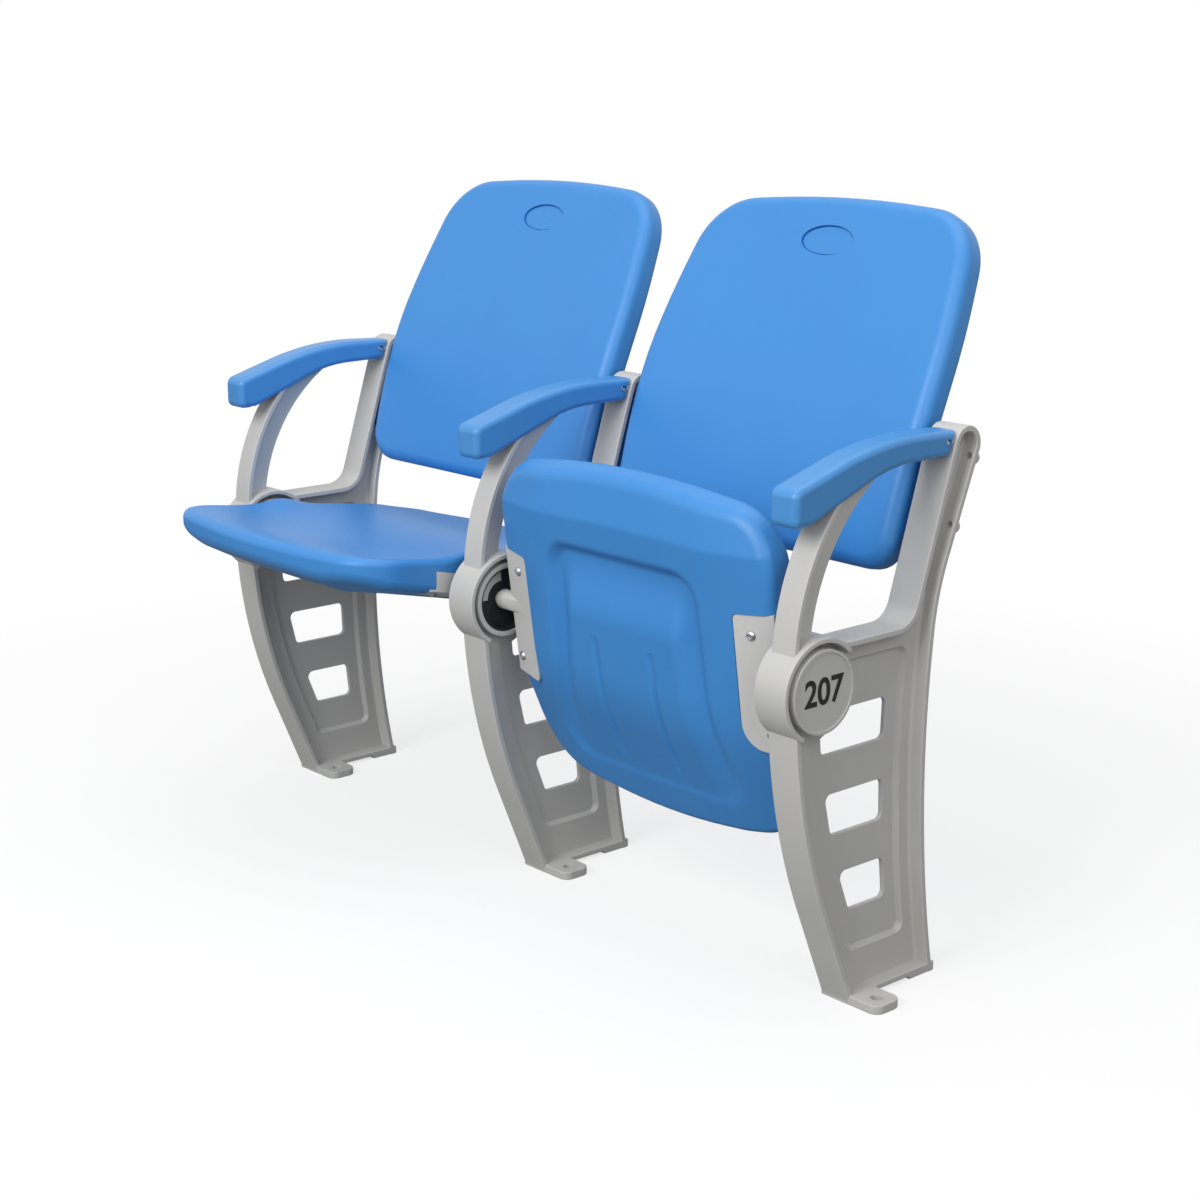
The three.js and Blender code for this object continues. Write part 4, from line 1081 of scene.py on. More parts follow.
    def panel(self, inner: float, outer: float, start: float, end: float) -> Solid:
        """Returns a body with the panel's outline and sloping sides."""
        return Solid.lofted([stood(self.panel_loop(inner), start), stood(self.panel_loop(outer), end)])

    def web_window(self, number: int) -> Solid:
        """Returns the body that opens one of the web's windows, numbered from the lowest."""
        front_at, rear_at = self.leg_faces()
        low = self.window_bottom + number * self.window_pitch
        high = low + self.window_height
        ahead, behind, corner = self.window_front_margin, self.window_rear_margin, self.window_corner
        outline = rounded_path(
            [
                (front_at(low) + ahead, low, corner),
                (rear_at(low) - behind, low, corner),
                (rear_at(high) - behind, high, corner),
                (front_at(high) + ahead, high, corner),
            ],
            True,
        )
        half = self.hub_half_width
        kept = Solid.drum(self.hub_radius + self.window_hub_margin, -half, half, *ROW.hub_axis)
        low_face = -self.web / 2 - self.panel_wall
        return Solid.opening(outline, low_face, low_face + self.panel_wall, self.edge).cut(kept)

    def hub(self) -> list[Solid]:
        """Returns the ring, shroud, lugs and stop of the hub."""
        hub = ROW.hub_axis
        half, wall = self.hub_half_width, self.shroud_wall
        bore = arc(hub, self.ring_inner, 0, 360)[:-1]
        whole = Solid.opening(bore, -self.ring_reach, self.ring_reach, self.edge)
        whole = whole.cut(Solid.drum(self.ring_outer, -self.web / 2, self.web / 2, *hub))
        ring = Solid.drum(self.ring_outer, -self.ring_reach, self.ring_reach, *hub, self.edge).cut(whole)
        shroud_inner = self.hub_radius - wall
        shroud = Solid.sector(shroud_inner, self.hub_radius, self.shroud_angles, -half, half, self.edge)
        half_lug = self.lug_width_deg / 2
        lugs = [
            Solid.sector(
                self.ring_outer - wall / 2,
                shroud_inner + wall / 2,
                (angle - half_lug, angle + half_lug),
                -self.stop_reach,
                self.stop_reach,
                self.edge / 2,
            )
            for angle in self.lug_angles
        ]
        reach = self.stop_reach
        stop = Solid.sector(self.stop_inner, self.stop_outer, self.stop_angles, -reach, reach, self.edge)
        return [ring, *(part.moved(0, *hub) for part in (shroud, *lugs, stop))]

    def bolt_seat(self, height: float, x: float) -> np.ndarray:
        """Returns the place of a back bolt on the rear flange."""
        return np.array([x, self.knee_setback() + self.rear_lean * (height - self.knee_height), height])

    def rearward(self) -> np.ndarray:
        """Returns the direction in which the rear flange faces."""
        tilt = math.atan(self.rear_lean)
        return np.array([0.0, math.cos(tilt), -math.sin(tilt)])

    def foot(self) -> list[Solid]:
        """Returns the foot plate and its two bolt ears."""
        deep, start, end = self.relief_depth, self.relief_start, self.relief_end
        profile = [
            (0, 0),
            (start, 0),
            (start + deep, deep),
            (end - deep, deep),
            (end, 0),
            (self.foot_length, 0),
            (self.foot_length, self.foot_thickness),
            (0, self.foot_thickness),
        ]
        plate = Solid.across(np.array(profile, float), -self.flange / 2, self.flange / 2, self.edge)
        ears = []
        for side in (1, -1):
            near = 0.0 if side > 0 else self.foot_length - self.ear_width
            far = near + self.ear_width
            corners = [(self.ear_reach, y, self.ear_corner) for y in (near, far)]
            outline = rounded_path([(0, near), *corners, (0, far)], True)
            hole = arc((self.ear_reach - self.ear_hole_inset, (near + far) / 2), self.ear_hole, 0, 360)[:-1]
            top = self.foot_thickness
            ear = Solid.across(outline, 0, top, self.edge).cut(Solid.opening(hole, 0, top, self.edge / 2))
            ear.mesh.transform(Matrix(((0, 1, 0, 0), (0, 0, 1, 0), (1, 0, 0, 0), (0, 0, 0, 1))))
            ears.append(ear if side > 0 else ear.mirrored())
        return [plate, *ears]

    def solid(self) -> Solid:
        """Returns the whole casting."""
        half, web, thick, ease = self.flange / 2, self.web / 2, self.flange_thickness, self.edge
        hub = ROW.hub_axis
        front = self.front_line()
        rear, _ = self.rear_line()
        rear_strip, loop = self.strips(ease)
        leg_line = np.vstack([front[front[:, 1] < ROW.hub_height], [[-self.front_reach, ROW.hub_height]]])
        leg = Solid.across(strip(leg_line, -thick), -half, half, ease)
        tail = front[(front[:, 1] > self.arm_front_top - self.tongue_depth) & (front[:, 0] > self.rail_front)][:-1]
        tongue = Solid.across(np.vstack([self.rail(self.loop_end_setback), tail[::-1]]), -web, web)
        rail_line = self.rail(self.arm_rear + thick / 2)
        rail = Solid.across(strip(rail_line, -self.rail_thickness), -self.arm_flange / 2, self.arm_flange / 2)
        bulge = self.panel(self.panel_draft - self.panel_wall, -self.panel_wall, -web - self.panel_wall, 0)
        sunk = self.panel(self.panel_draft, 0, web - self.panel_depth, web + self.clearance)
        core = Solid.drum(self.hub_radius - self.shroud_wall / 2, -self.flange, self.flange, *hub)
        floor = Solid.drum(self.hub_radius, -web - self.panel_wall, web, *hub)
        floor = floor.cut(Solid.drum(self.ring_inner, -self.hub_half_width, -web, *hub))
        opening = Solid.opening(self.window_of_loop(), -web, web, ease, self.flange).cut(*self.strips(0.0))
        body = Solid.across(self.web_outline(), -web, web)
        body = body.join(*self.fillets(front[front[:, 1] < self.loop_bend_height], -thick))
        body = body.join(*self.fillets(rear[: int(np.argmax(rear[:, 1] > self.knee_height))], thick))
        body = body.join(tongue, leg, loop, rear_strip, rail, bulge)
        body = body.cut(opening, sunk.cut(core), core).join(floor, *self.hub())
        body = body.cut(*(self.web_window(i) for i in range(self.window_count))).join(*self.foot())
        rearward = self.rearward()
        seats = [self.bolt_seat(h, s * self.bolt_offset) for s in (-1, 1) for h in self.bolt_heights]
        reach = thick / 2 + self.pad_height
        pads = [Solid.rod(self.pad_radius, p - rearward * thick / 2, rearward, reach, ease / 2) for p in seats]
        length = thick + self.pad_height + 2 * self.overrun
        holes = [Solid.rod(self.bolt_hole, p - rearward * (thick + self.overrun), rearward, length) for p in seats]
        bore = Solid.drum(self.bush_bore, -self.web, self.web, *hub)
        low = self.arm_flange / 2 - self.screw_length
        screw = Solid.drum(self.screw_hole, low, self.flange, self.screw_setback, self.screw_height())
        far, deep, wide = self.underground
        corners = [(-far, -deep), (far, -deep), (far, 0), (-far, 0)]
        below = Solid.across(np.array(corners, float), -wide, wide)
        return body.join(*pads).cut(bore, *holes, screw, below)

    def build(self) -> None:
        """Sets out the three castings."""
        shape = self.solid()
        for number, word in enumerate(STANDARD_WORDS):
            dress = Dress(POWDER_COAT, Slot.CASTING, Body.FRAME, (f"standard_{word}",))
            set_out(f"cast_standard_{word}", shape, ROW.standard(number), dress)


@dataclass
class ArmCap:
    """The moulded cap over the rail of a standard."""

    standard: CastStandard
    width: float = 41.0
    front_depth: float = 40.7
    heel_setback: float = -78.0
    heel_radius: float = 14.0
    under_setback: float = 46.0
    under_drop: float = 35.6
    under_radius: float = 200.0
    rear_depth: float = 28.5
    nose_radius: float = 12.0
    chin_radius: float = 9.0
    side_wall: float = 3.2
    rounding: float = 8.5
    gap: float = 0.3
    screw_head: float = 4.0

    def outline(self) -> np.ndarray:
        """Returns the cap's side view."""
        s = self.standard
        low, rear_low = s.arm_front_top - self.front_depth, s.arm_rear_top - self.rear_depth
        bend_setback, bend_height, bend_radius = s.arm_bend
        return rounded_path(
            [
                (s.arm_front, low, self.chin_radius),
                (self.heel_setback, low, self.heel_radius),
                (self.under_setback, bend_height - self.under_drop, self.under_radius),
                (s.upright_front(rear_low) - 2 * self.gap, rear_low),
                (s.upright_front(s.arm_rear_top) - 2 * self.gap, s.arm_rear_top),
                (bend_setback, bend_height, bend_radius),
                (s.arm_front, s.arm_front_top, self.nose_radius),
            ],
            True,
            0.05,
        )

    def solid(self) -> Solid:
        """Returns the cap with its rounded outside and the slot that takes the rail."""
        s = self.standard
        half = self.width / 2
        outer = Solid.across(self.outline(), -half, half, self.rounding)
        roof = s.rail(s.arm_rear + s.overrun) + [0, self.gap]
        low = s.arm_front_top - self.front_depth - s.overrun
        mouth = [(s.arm_rear + s.overrun, low), (s.rail_front - self.gap, low)]
        inner = half - self.side_wall
        slot = Solid.across(np.vstack([roof, mouth]), -inner, inner)
        hole = Solid.drum(self.screw_head + self.gap, 0, self.width, s.screw_setback, s.screw_height())
        return outer.cut(slot, hole).cleaned()

    def build(self) -> None:
        """Sets out the three caps."""
        shape = self.solid()
        for number, word in enumerate(STANDARD_WORDS):
            dress = Dress(MOULDED_CAP, Slot.SHELL, Body.FRAME, (f"arm_rest_{word}",))
            set_out(f"arm_cap_{word}", shape, ROW.standard(number), dress)


def rim_rings(outline: np.ndarray, radius: float, steps: int) -> list[tuple[np.ndarray, float]]:
    """Rolls an outline over a rounded rim.

    Args:
        outline: The outline at the rim's widest.
        radius: The rim's radius.
        steps: The steps of the quarter turn.

    Returns:
        Each ring with how far it lies below the face, from the face to the widest line.
    """
    rings = []
    for k in range(steps + 1):
        angle = math.pi / 2 * k / steps
        rings.append((offset_path(outline, radius * (1 - math.sin(angle)), True), radius * (1 - math.cos(angle))))
    return rings


@dataclass
class BackShell:
    """A blow-moulded back with a shallow oval recess, carried by two wings."""

    standard: CastStandard
    half_width: float = 243.0
    bottom_half_width: float = 235.0
    top_half_width: float = 213.0
    length: float = 451.3
    top_rise: float = 20.0
    waist: float = 250.0
    bottom_corner: float = 42.0
    side_radius: float = 900.0
    top_corner: float = 86.0
    top_radius: float = 1300.0
    thickness: float = 37.4
    edge: float = 17.0
    rear_edge: float = 7.0
    hollow: float = 8.0
    foot: Corner = (99.0, 478.0)
    bend: Corner = (124.0, 603.0, 900.0)
    head: Corner = (265.5, 886.0)
    oval_half_width: float = 42.0
    oval_half_height: float = 19.5
    oval_depth: float = 2.2
    oval_groove: Corner = (1.8, 4.4)
    oval_from_top: float = 67.0
    wing_heights: Corner = (510.0, 616.5)
    wing_thickness: float = 14.0
    wing_edge: float = 2.5
    wing_inner: float = 205.0
    wing_outer: float = 264.5
    gap: float = 0.3
    bolt_hole: float = 4.3
    bolt_depth: float = 16.0
    oval_sides: int = 96
    rear_rim_steps: int = 5
    shares: Corner = (0.06, 0.97)
    share_steps: int = 22

    def outline(self) -> np.ndarray:
        """Returns the back's outline in its own face, about its middle."""
        middle, shoulder = self.length / 2, self.length - self.top_rise
        corners = rounded_path(
            [
                (-self.bottom_half_width, 0, self.bottom_corner),
                (self.bottom_half_width, 0, self.bottom_corner),
                (self.half_width, self.waist, self.side_radius),
                (self.top_half_width, shoulder, self.top_corner),
                (0, self.length, self.top_radius),
                (-self.top_half_width, shoulder, self.top_corner),
                (-self.half_width, self.waist, self.side_radius),
            ],
            True,
            0.12,
        )
        return stepped(corners - [0, middle], 7.0)

    def place(self, loop: np.ndarray, depth: float | np.ndarray) -> np.ndarray:
        """Lays points of the back's own face on its curved front, or behind it.

        Args:
            loop: The points as width and length from the middle.
            depth: How far behind the front face they lie.

        Returns:
            The points in the row.
        """
        line = rounded_path([self.foot, self.bend, self.head], chord=0.02)
        steps = np.linalg.norm(np.diff(line, axis=0), axis=1)
        reach = np.concatenate([[0], np.cumsum(steps)])
        at = loop[:, 1] + self.length / 2
        i = np.clip(np.searchsorted(reach, at) - 1, 0, len(steps) - 1)
        ahead = (line[i + 1] - line[i]) / steps[i][:, None]
        spot = line[i] + ahead * (at - reach[i])[:, None]
        hollow = self.hollow * np.cos(np.minimum(np.abs(loop[:, 0]) / self.half_width, 1) * math.pi / 2)
        spot = spot + np.column_stack([ahead[:, 1], -ahead[:, 0]]) * (depth + hollow)[:, None]
        return np.column_stack([loop[:, 0], spot])

    def shell(self) -> Solid:
        """Returns the back without its wings."""
        outline = self.outline()
        rims = rim_rings(outline, self.edge, RIM_STEPS)
        shares = np.linspace(*self.shares, self.share_steps)
        rings = [self.place(rims[0][0] * share, np.zeros(len(outline))) for share in shares]
        rings += [self.place(ring, np.full(len(ring), drop)) for ring, drop in rims]
        rear = rim_rings(outline, self.rear_edge, self.rear_rim_steps)
        rings += [self.place(ring, np.full(len(ring), self.thickness - drop)) for ring, drop in rear[::-1]]
        rings += [self.place(rear[0][0] * share, np.full(len(outline), self.thickness)) for share in shares[::-1]]
        return Solid.lofted(rings, poles=True)

    def oval(self, inwards: float, start: float, end: float) -> Solid:
        """Returns a body with the oval's outline, moved inwards, between two depths behind the front face."""
        angles = np.linspace(0, 2 * math.pi, self.oval_sides, endpoint=False)
        wide, tall = self.oval_half_width - inwards, self.oval_half_height - inwards
        middle = self.length / 2 - self.oval_from_top
        ring = np.column_stack([wide * np.cos(angles), middle + tall * np.sin(angles)])
        depths = (start, (start + end) / 2, end)
        return Solid.lofted([self.place(ring, np.full(self.oval_sides, depth)) for depth in depths])

    def oval_recess(self) -> list[Solid]:
        """Returns the bodies that sink the oval into the front face, with a fine groove round its floor."""
        wide, deep = self.oval_groove
        groove = self.oval(0, -self.edge, deep).cut(self.oval(wide, self.oval_depth / 2, 2 * deep))
        return [self.oval(0, -self.edge, self.oval_depth), groove]

    def wings(self) -> list[Solid]:
        """Returns the two blocks that lie on the rear flanges."""
        s = self.standard
        feet = [s.bolt_seat(h, 0) - s.rearward() * (s.flange_thickness + self.gap) for h in self.wing_heights]
        outline = strip(np.array([foot[1:] for foot in feet]), self.wing_thickness)
        ends = ((-self.wing_outer, -self.wing_inner), (self.wing_inner, self.wing_outer))
        return [Solid.across(outline, low, high, self.wing_edge) for low, high in ends]

    def build(self) -> None:
        """Sets out the two backs."""
        s = self.standard
        rearward = s.rearward()
        aside = ROW.spacing / 2 - s.bolt_offset
        places = [s.bolt_seat(h, side * aside) for side in (-1, 1) for h in s.bolt_heights]
        length = self.bolt_depth + s.overrun
        holes = [Solid.rod(self.bolt_hole, p + rearward * s.overrun, -rearward, length) for p in places]
        shape = self.shell().join(*self.wings()).cut(*self.oval_recess(), *holes)
        for place in Place:
            dress = Dress(BLOWN_SHELL, Slot.SHELL, Body.FRAME, (f"back_{place.word}",))
            set_out(f"back_shell_{place.word}", shape, ROW.back(place), dress, 40.0)


@dataclass
class SeatShell:
    """A blow-moulded seat, drawn lowered about the hub's axis."""

    half_width: float = 232.0
    front: float = -208.0
    front_corner: float = -178.0
    rear: float = 238.0
    rear_corner: float = 205.0
    rear_half_width: float = 227.0
    front_radius: float = 1100.0
    rear_radius: float = 700.0
    front_corner_radius: float = 66.0
    rear_corner_radius: float = 74.0
    top_at_pivot: float = 46.0
    top_fall: float = math.tan(math.radians(6.8))
    dish: float = 15.0
    rear_rim: float = 70.0
    lip: float = 10.0
    lip_length: float = 52.0
    top_edge: float = 11.0
    bottom_edge: float = 11.0
    side_lift: float = 19.0
    nose_under: float = 37.5
    crease: Corner = (-148.0, 6.0, 3.0)
    crease_bow: float = 10.0
    under_bend: Corner = (-100.0, -3.0, 100.0)
    heel_bend: Corner = (66.0, -41.5, 280.0)
    heel_under: float = -36.0
    side_start: float = 130.0
    swell: float = 9.0
    swell_length: float = 34.0
    swell_width: float = 34.0
    pocket_depth: float = 12.0
    pocket_rear_depth: float = 3.0
    pocket_draft: float = 21.0
    pocket_front: float = -117.0
    pocket_front_half: float = 134.0
    pocket_waist: float = 40.0
    pocket_waist_half: float = 140.0
    pocket_rear: float = 184.0
    pocket_rear_half: float = 170.0
    pocket_corner: float = 44.0
    pocket_waist_radius: float = 300.0
    swelling_front: float = -26.0
    swelling_half: float = 86.0
    swelling_spread: float = 16.0
    swelling_proud: float = 4.5
    swelling_rear: float = -1.5
    groove_offset: float = 48.5
    groove_ends: Corner = (-5.0, 170.0)
    groove_widths: Corner = (9.0, 17.0)
    groove_depth: float = 3.6
    groove_fade: float = 8.0
    groove_runout: float = 44.0
    bracket_rear: float = 84.0
    top_shares: Corner = (0.04, 0.975)
    top_steps: int = 26
    under_shares: Corner = (0.02, 0.985)
    under_steps: int = 62

    def outline(self) -> np.ndarray:
        """Returns the seat's plan."""
        wide, corner = self.half_width, self.front_corner
        corners = rounded_path(
            [
                (0, self.front, self.front_radius),
                (wide, corner, self.front_corner_radius),
                (wide, self.bracket_rear),
                (self.rear_half_width, self.rear_corner, self.rear_corner_radius),
                (0, self.rear, self.rear_radius),
                (-self.rear_half_width, self.rear_corner, self.rear_corner_radius),
                (-wide, self.bracket_rear),
                (-wide, corner, self.front_corner_radius),
            ],
            True,
            0.12,
        )
        return stepped(corners, 3.2)

    def top(self, plan: np.ndarray) -> np.ndarray:
        """Returns the height of the sitting face over plan points."""
        x, y = plan[:, 0], plan[:, 1]
        side = np.minimum(np.abs(x) / self.half_width, 1)
        lengthwise = smooth(y, self.front, self.front + 3 * self.lip_length) * smooth(
            -y, -self.rear, self.rear_rim - self.rear
        )
        into_lip = np.clip((self.front + self.lip_length - y) / self.lip_length, 0, 1)
        aside = (np.abs(x) - self.half_width) / self.swell_width
        swell = self.swell * np.exp(-(aside**2) - (y / self.swell_length) ** 2)
        dish = self.dish * (1 - side**4) * lengthwise
        return self.top_at_pivot - self.top_fall * y - dish - self.lip * into_lip**2 + swell

    def under(self, plan: np.ndarray) -> np.ndarray:
        """Returns the height of the underside over plan points, without its recess."""
        ends = (self.front, self.nose_under), (self.rear, self.heel_under)
        line = rounded_path([ends[0], self.crease, self.under_bend, self.heel_bend, ends[1]], chord=0.01)
        side = np.minimum(np.abs(plan[:, 0]) / self.half_width, 1)
        ahead = smooth(-plan[:, 1], -self.under_bend[0], -self.crease[0])
        at = plan[:, 1] - self.crease_bow * side**2 * ahead
        lift = np.clip((side * self.half_width - self.side_start) / (self.half_width - self.side_start), 0, 1)
        return np.interp(at, line[:, 0], line[:, 1]) + self.side_lift * lift**1.5

    def pocket(self) -> np.ndarray:
        """Returns the plan of the recess in the underside."""
        corner = self.pocket_corner
        return rounded_path(
            [
                (-self.pocket_front_half, self.pocket_front, corner),
                (self.pocket_front_half, self.pocket_front, corner),
                (self.pocket_waist_half, self.pocket_waist, self.pocket_waist_radius),
                (self.pocket_rear_half, self.pocket_rear, corner),
                (-self.pocket_rear_half, self.pocket_rear, corner),
                (-self.pocket_waist_half, self.pocket_waist, self.pocket_waist_radius),
            ],
            True,
            0.2,
        )

    def swelling(self, plan: np.ndarray) -> np.ndarray:
        """Returns how far the recess's floor swells out over plan points."""
        x, y = np.abs(plan[:, 0]), plan[:, 1]
        back = np.clip((y - self.swelling_front) / (self.pocket_rear - self.swelling_front), 0, 1)
        wide = self.swelling_half + self.swelling_spread * back
        foot = self.pocket_waist_half - self.pocket_draft + self.swelling_spread * back
        rises = (foot - x) / (foot - wide), smooth(y, self.pocket_front + self.pocket_draft, self.swelling_front)
        share = smooth(rises[0], 0, 1) * rises[1]
        rearward = smooth(y, self.heel_bend[0] / 2, self.pocket_rear)
        proud = self.swelling_proud + (self.swelling_rear - self.swelling_proud) * rearward
        return (self.floor(plan) + proud) * share

    def floor(self, plan: np.ndarray) -> np.ndarray:
        """Returns the recess's depth at the foot of its wall, which runs out to the rear."""
        rearward = smooth(plan[:, 1], -self.pocket_waist, self.pocket_rear)
        return self.pocket_depth + (self.pocket_rear_depth - self.pocket_depth) * rearward

    def grooves(self, plan: np.ndarray) -> np.ndarray:
        """Returns how deep the two long grooves, which widen to the rear, are over plan points."""
        start, end = self.groove_ends
        across = np.abs(np.abs(plan[:, 0]) - self.groove_offset)
        nearest = np.clip(plan[:, 1], start, end)
        apart = np.hypot(across, plan[:, 1] - nearest)
        half = np.interp(nearest, self.groove_ends, self.groove_widths) / 2
        fade = smooth(nearest, start - self.groove_fade, start + self.groove_fade)
        fade *= smooth(-nearest, -end, self.groove_runout - end)
        return self.groove_depth * (1 - smooth(apart / half, 0, 1)) * fade

    def relief(self, plan: np.ndarray) -> np.ndarray:
        """Returns how far the underside is sunk over plan points."""
        inside = depth_inside(plan, self.pocket())
        floor = self.floor(plan)
        wall = floor * smooth(inside, 0, self.pocket_draft)
        return np.minimum(wall, floor - self.swelling(plan)) + self.grooves(plan) * (inside > 0)

    def shell(self) -> Solid:
        """Returns the seat before its brackets are let in."""
        outline = self.outline()

        def upper(loop: np.ndarray, drop: float) -> np.ndarray:
            return np.column_stack([loop, self.top(loop) - drop])

        def lower(loop: np.ndarray, rise: float) -> np.ndarray:
            return np.column_stack([loop, self.under(loop) + self.relief(loop) + rise])

        rims = rim_rings(outline, self.top_edge, RIM_STEPS)
        rings = [upper(rims[0][0] * share, 0) for share in np.linspace(*self.top_shares, self.top_steps)]
        rings += [upper(ring, drop) for ring, drop in rims]
        rims = rim_rings(outline, self.bottom_edge, RIM_STEPS)
        rings += [lower(ring, drop) for ring, drop in rims[::-1]]
        shares = np.linspace(*self.under_shares, self.under_steps)
        rings += [lower(rims[0][0] * share, 0) for share in shares[::-1]]
        return Solid.lofted(rings, poles=True)

    def build(self, bracket: "PivotBracket") -> None:
        """Sets out the two seats, with room for their brackets."""
        spaces = bracket.space(self), bracket.left().space(self).mirrored()
        holes = bracket.bolt_rods(self)
        shape = self.shell().cut(*spaces, *holes, *(hole.mirrored() for hole in holes))
        for place in Place:
            dress = Dress(BLOWN_SHELL, Slot.SHELL, place.body, (f"seat_{place.word}",))
            set_out(f"seat_shell_{place.word}", shape, ROW.seat(place), dress, 40.0)


@dataclass
class PivotBracket:
    """A pressed plate under a seat's edge with its side plate, pivot boss and stop finger, drawn for the +X end."""

    thickness: float = 3.0
    drop: float = 13.0
    fall: float = math.tan(math.radians(13.3))
    lean: float = math.tan(math.radians(13.5))
    lean_line: float = 204.0
    front: float = -76.0
    rear: float = 84.0
    width: float = 52.0
    height: float = 27.0
    front_corner: float = 6.0
    rear_corner: float = 34.0
    left_rear_corner: float = 5.0
    side_corner: float = 1.5
    side_setback: float = 9.0
    boss: float = 12.5
    nose: float = 9.0
    shoulder: float = 13.0
    nose_start: float = 10.0
    boss_end: float = 1.0
    finger_radius: float = 37.5
    finger_start: float = 7.6
    finger_end: float = 13.5
    finger_width_deg: float = 24.0
    finger_gap_deg: float = 0.8
    bolt_length: float = 12.0
    plate_bolts: tuple[Corner, ...] = ((-52.0, 30.0), (62.0, 14.0))
    side_bolt: Corner = (58.0, -6.0)
    bolt_hole: float = 3.3
    overrun: float = 6.0
    room: float = 43.0
    gap: float = 0.3
    edge: float = 0.5

    def plane(self, x: float | np.ndarray, y: float | np.ndarray) -> float | np.ndarray:
        """Returns the height of the plate's lower face, which falls to the rear and rises to the outside."""
        return -self.drop - self.fall * y + self.lean * (x - self.lean_line)

    def layer(self, plan: np.ndarray, low: float, high: float) -> Solid:
        """Returns a body with the given plan between two heights over the plate's lower face."""
        face = self.plane(plan[:, 0], plan[:, 1])
        return Solid.lofted([np.column_stack([plan, face + low]), np.column_stack([plan, face + high])])

    def plan(self, inner: float, outer: float, grow: float) -> np.ndarray:
        """Returns the plate's plan between two setbacks along X."""
        front, rear = self.front - grow, self.rear + grow
        return rounded_path(
            [
                (outer, front),
                (outer, rear),
                (inner - grow, rear, self.rear_corner + grow),
                (inner - grow, front, self.front_corner + grow),
            ],
            True,
        )

    def space(self, seat: SeatShell) -> Solid:
        """Returns the room at the seat's edge that the bracket takes."""
        outer = seat.half_width + self.room
        plan = self.plan(seat.half_width - self.width, outer, self.gap)
        side = self.side(seat, self.gap)
        room = Solid.across(side, seat.half_width - self.thickness - self.gap, outer)
        return self.layer(plan, -seat.top_at_pivot, self.thickness + self.gap).join(room)

    def side(self, seat: SeatShell, grow: float) -> np.ndarray:
        """Returns the outline of the side plate, grown all round."""
        front, rear, corner = self.front + self.side_setback - grow, self.rear + grow, self.side_corner + grow
        foot = self.plane(seat.half_width, np.array([front, rear]))
        head = foot + (self.height + grow)
        ends = [(rear, head[1], corner), (front, head[0], corner)]
        return rounded_path([(front, foot[0]), (rear, foot[1]), *ends], True)

    def bolts(self, seat: SeatShell) -> list[tuple[np.ndarray, np.ndarray]]:
        """Returns each bolt's place and the direction it is driven in."""
        inward = np.array([-self.lean, self.fall, 1.0])
        inward /= np.linalg.norm(inward)
        spots = [(seat.half_width - inset, y) for y, inset in self.plate_bolts]
        found = [(np.array([x, y, self.plane(x, y)]), inward) for x, y in spots]
        return [*found, (np.array([seat.half_width, *self.side_bolt]), np.array([-1.0, 0.0, 0.0]))]

    def bolt_rods(self, seat: SeatShell) -> list[Solid]:
        """Returns the holes for the bolts."""
        length = self.bolt_length + self.overrun
        return [Solid.rod(self.bolt_hole, p - d * self.overrun, d, length) for p, d in self.bolts(seat)]

    def solid(self, seat: SeatShell, stop_deg: float) -> Solid:
        """Returns the bracket.

        Args:
            seat: The seat that it carries.
            stop_deg: Where the hub's cast stop starts.

        Returns:
            The bracket for the +X end.
        """
        outer = seat.half_width
        side = outer - self.thickness
        middle = ROW.spacing / 2
        plate = self.layer(self.plan(outer - self.width, outer, 0), 0, self.thickness)
        upright = Solid.across(self.side(seat, 0), side, outer)
        gusset = Solid.turned([(self.boss, self.lean_line), (self.boss, side + self.thickness / 2)])
        over = self.plan(outer - self.width, outer + self.boss, 0)
        gusset = gusset.cut(self.layer(over, self.thickness, 2 * self.width))
        boss = Solid.turned(
            [
                (self.boss, side + self.thickness / 2),
                (self.boss, middle - self.shoulder),
                (self.nose, middle - self.nose_start),
                (self.nose, middle - self.boss_end),
            ]
        )
        at = stop_deg - self.finger_width_deg / 2 - self.finger_gap_deg
        half = self.finger_width_deg / 2
        span = (middle - self.finger_end, middle - self.finger_start)
        finger = Solid.sector(self.boss / 2, self.finger_radius, (at - half, at + half), *span)
        return plate.join(upright, gusset, boss, finger).cut(*self.bolt_rods(seat)).eased(self.edge)

    def left(self) -> "PivotBracket":
        """Returns the bracket for the other end, drawn for the +X end too, with its squarer rear corner."""
        return replace(self, rear_corner=self.left_rear_corner)

    def build(self, seat: SeatShell, stop_deg: float) -> None:
        """Sets out the four brackets."""
        right, left = self.solid(seat, stop_deg), self.left().solid(seat, stop_deg).mirrored()
        for place in Place:
            for end, shape in (("l", left), ("r", right)):
                name = f"seat_bracket_{place.word}_{end}"
                dress = Dress(COATED_STEEL, Slot.BRACKET, place.body, (name,))
                set_out(f"pivot_bracket_{place.word}_{end}", shape, ROW.seat(place), dress)


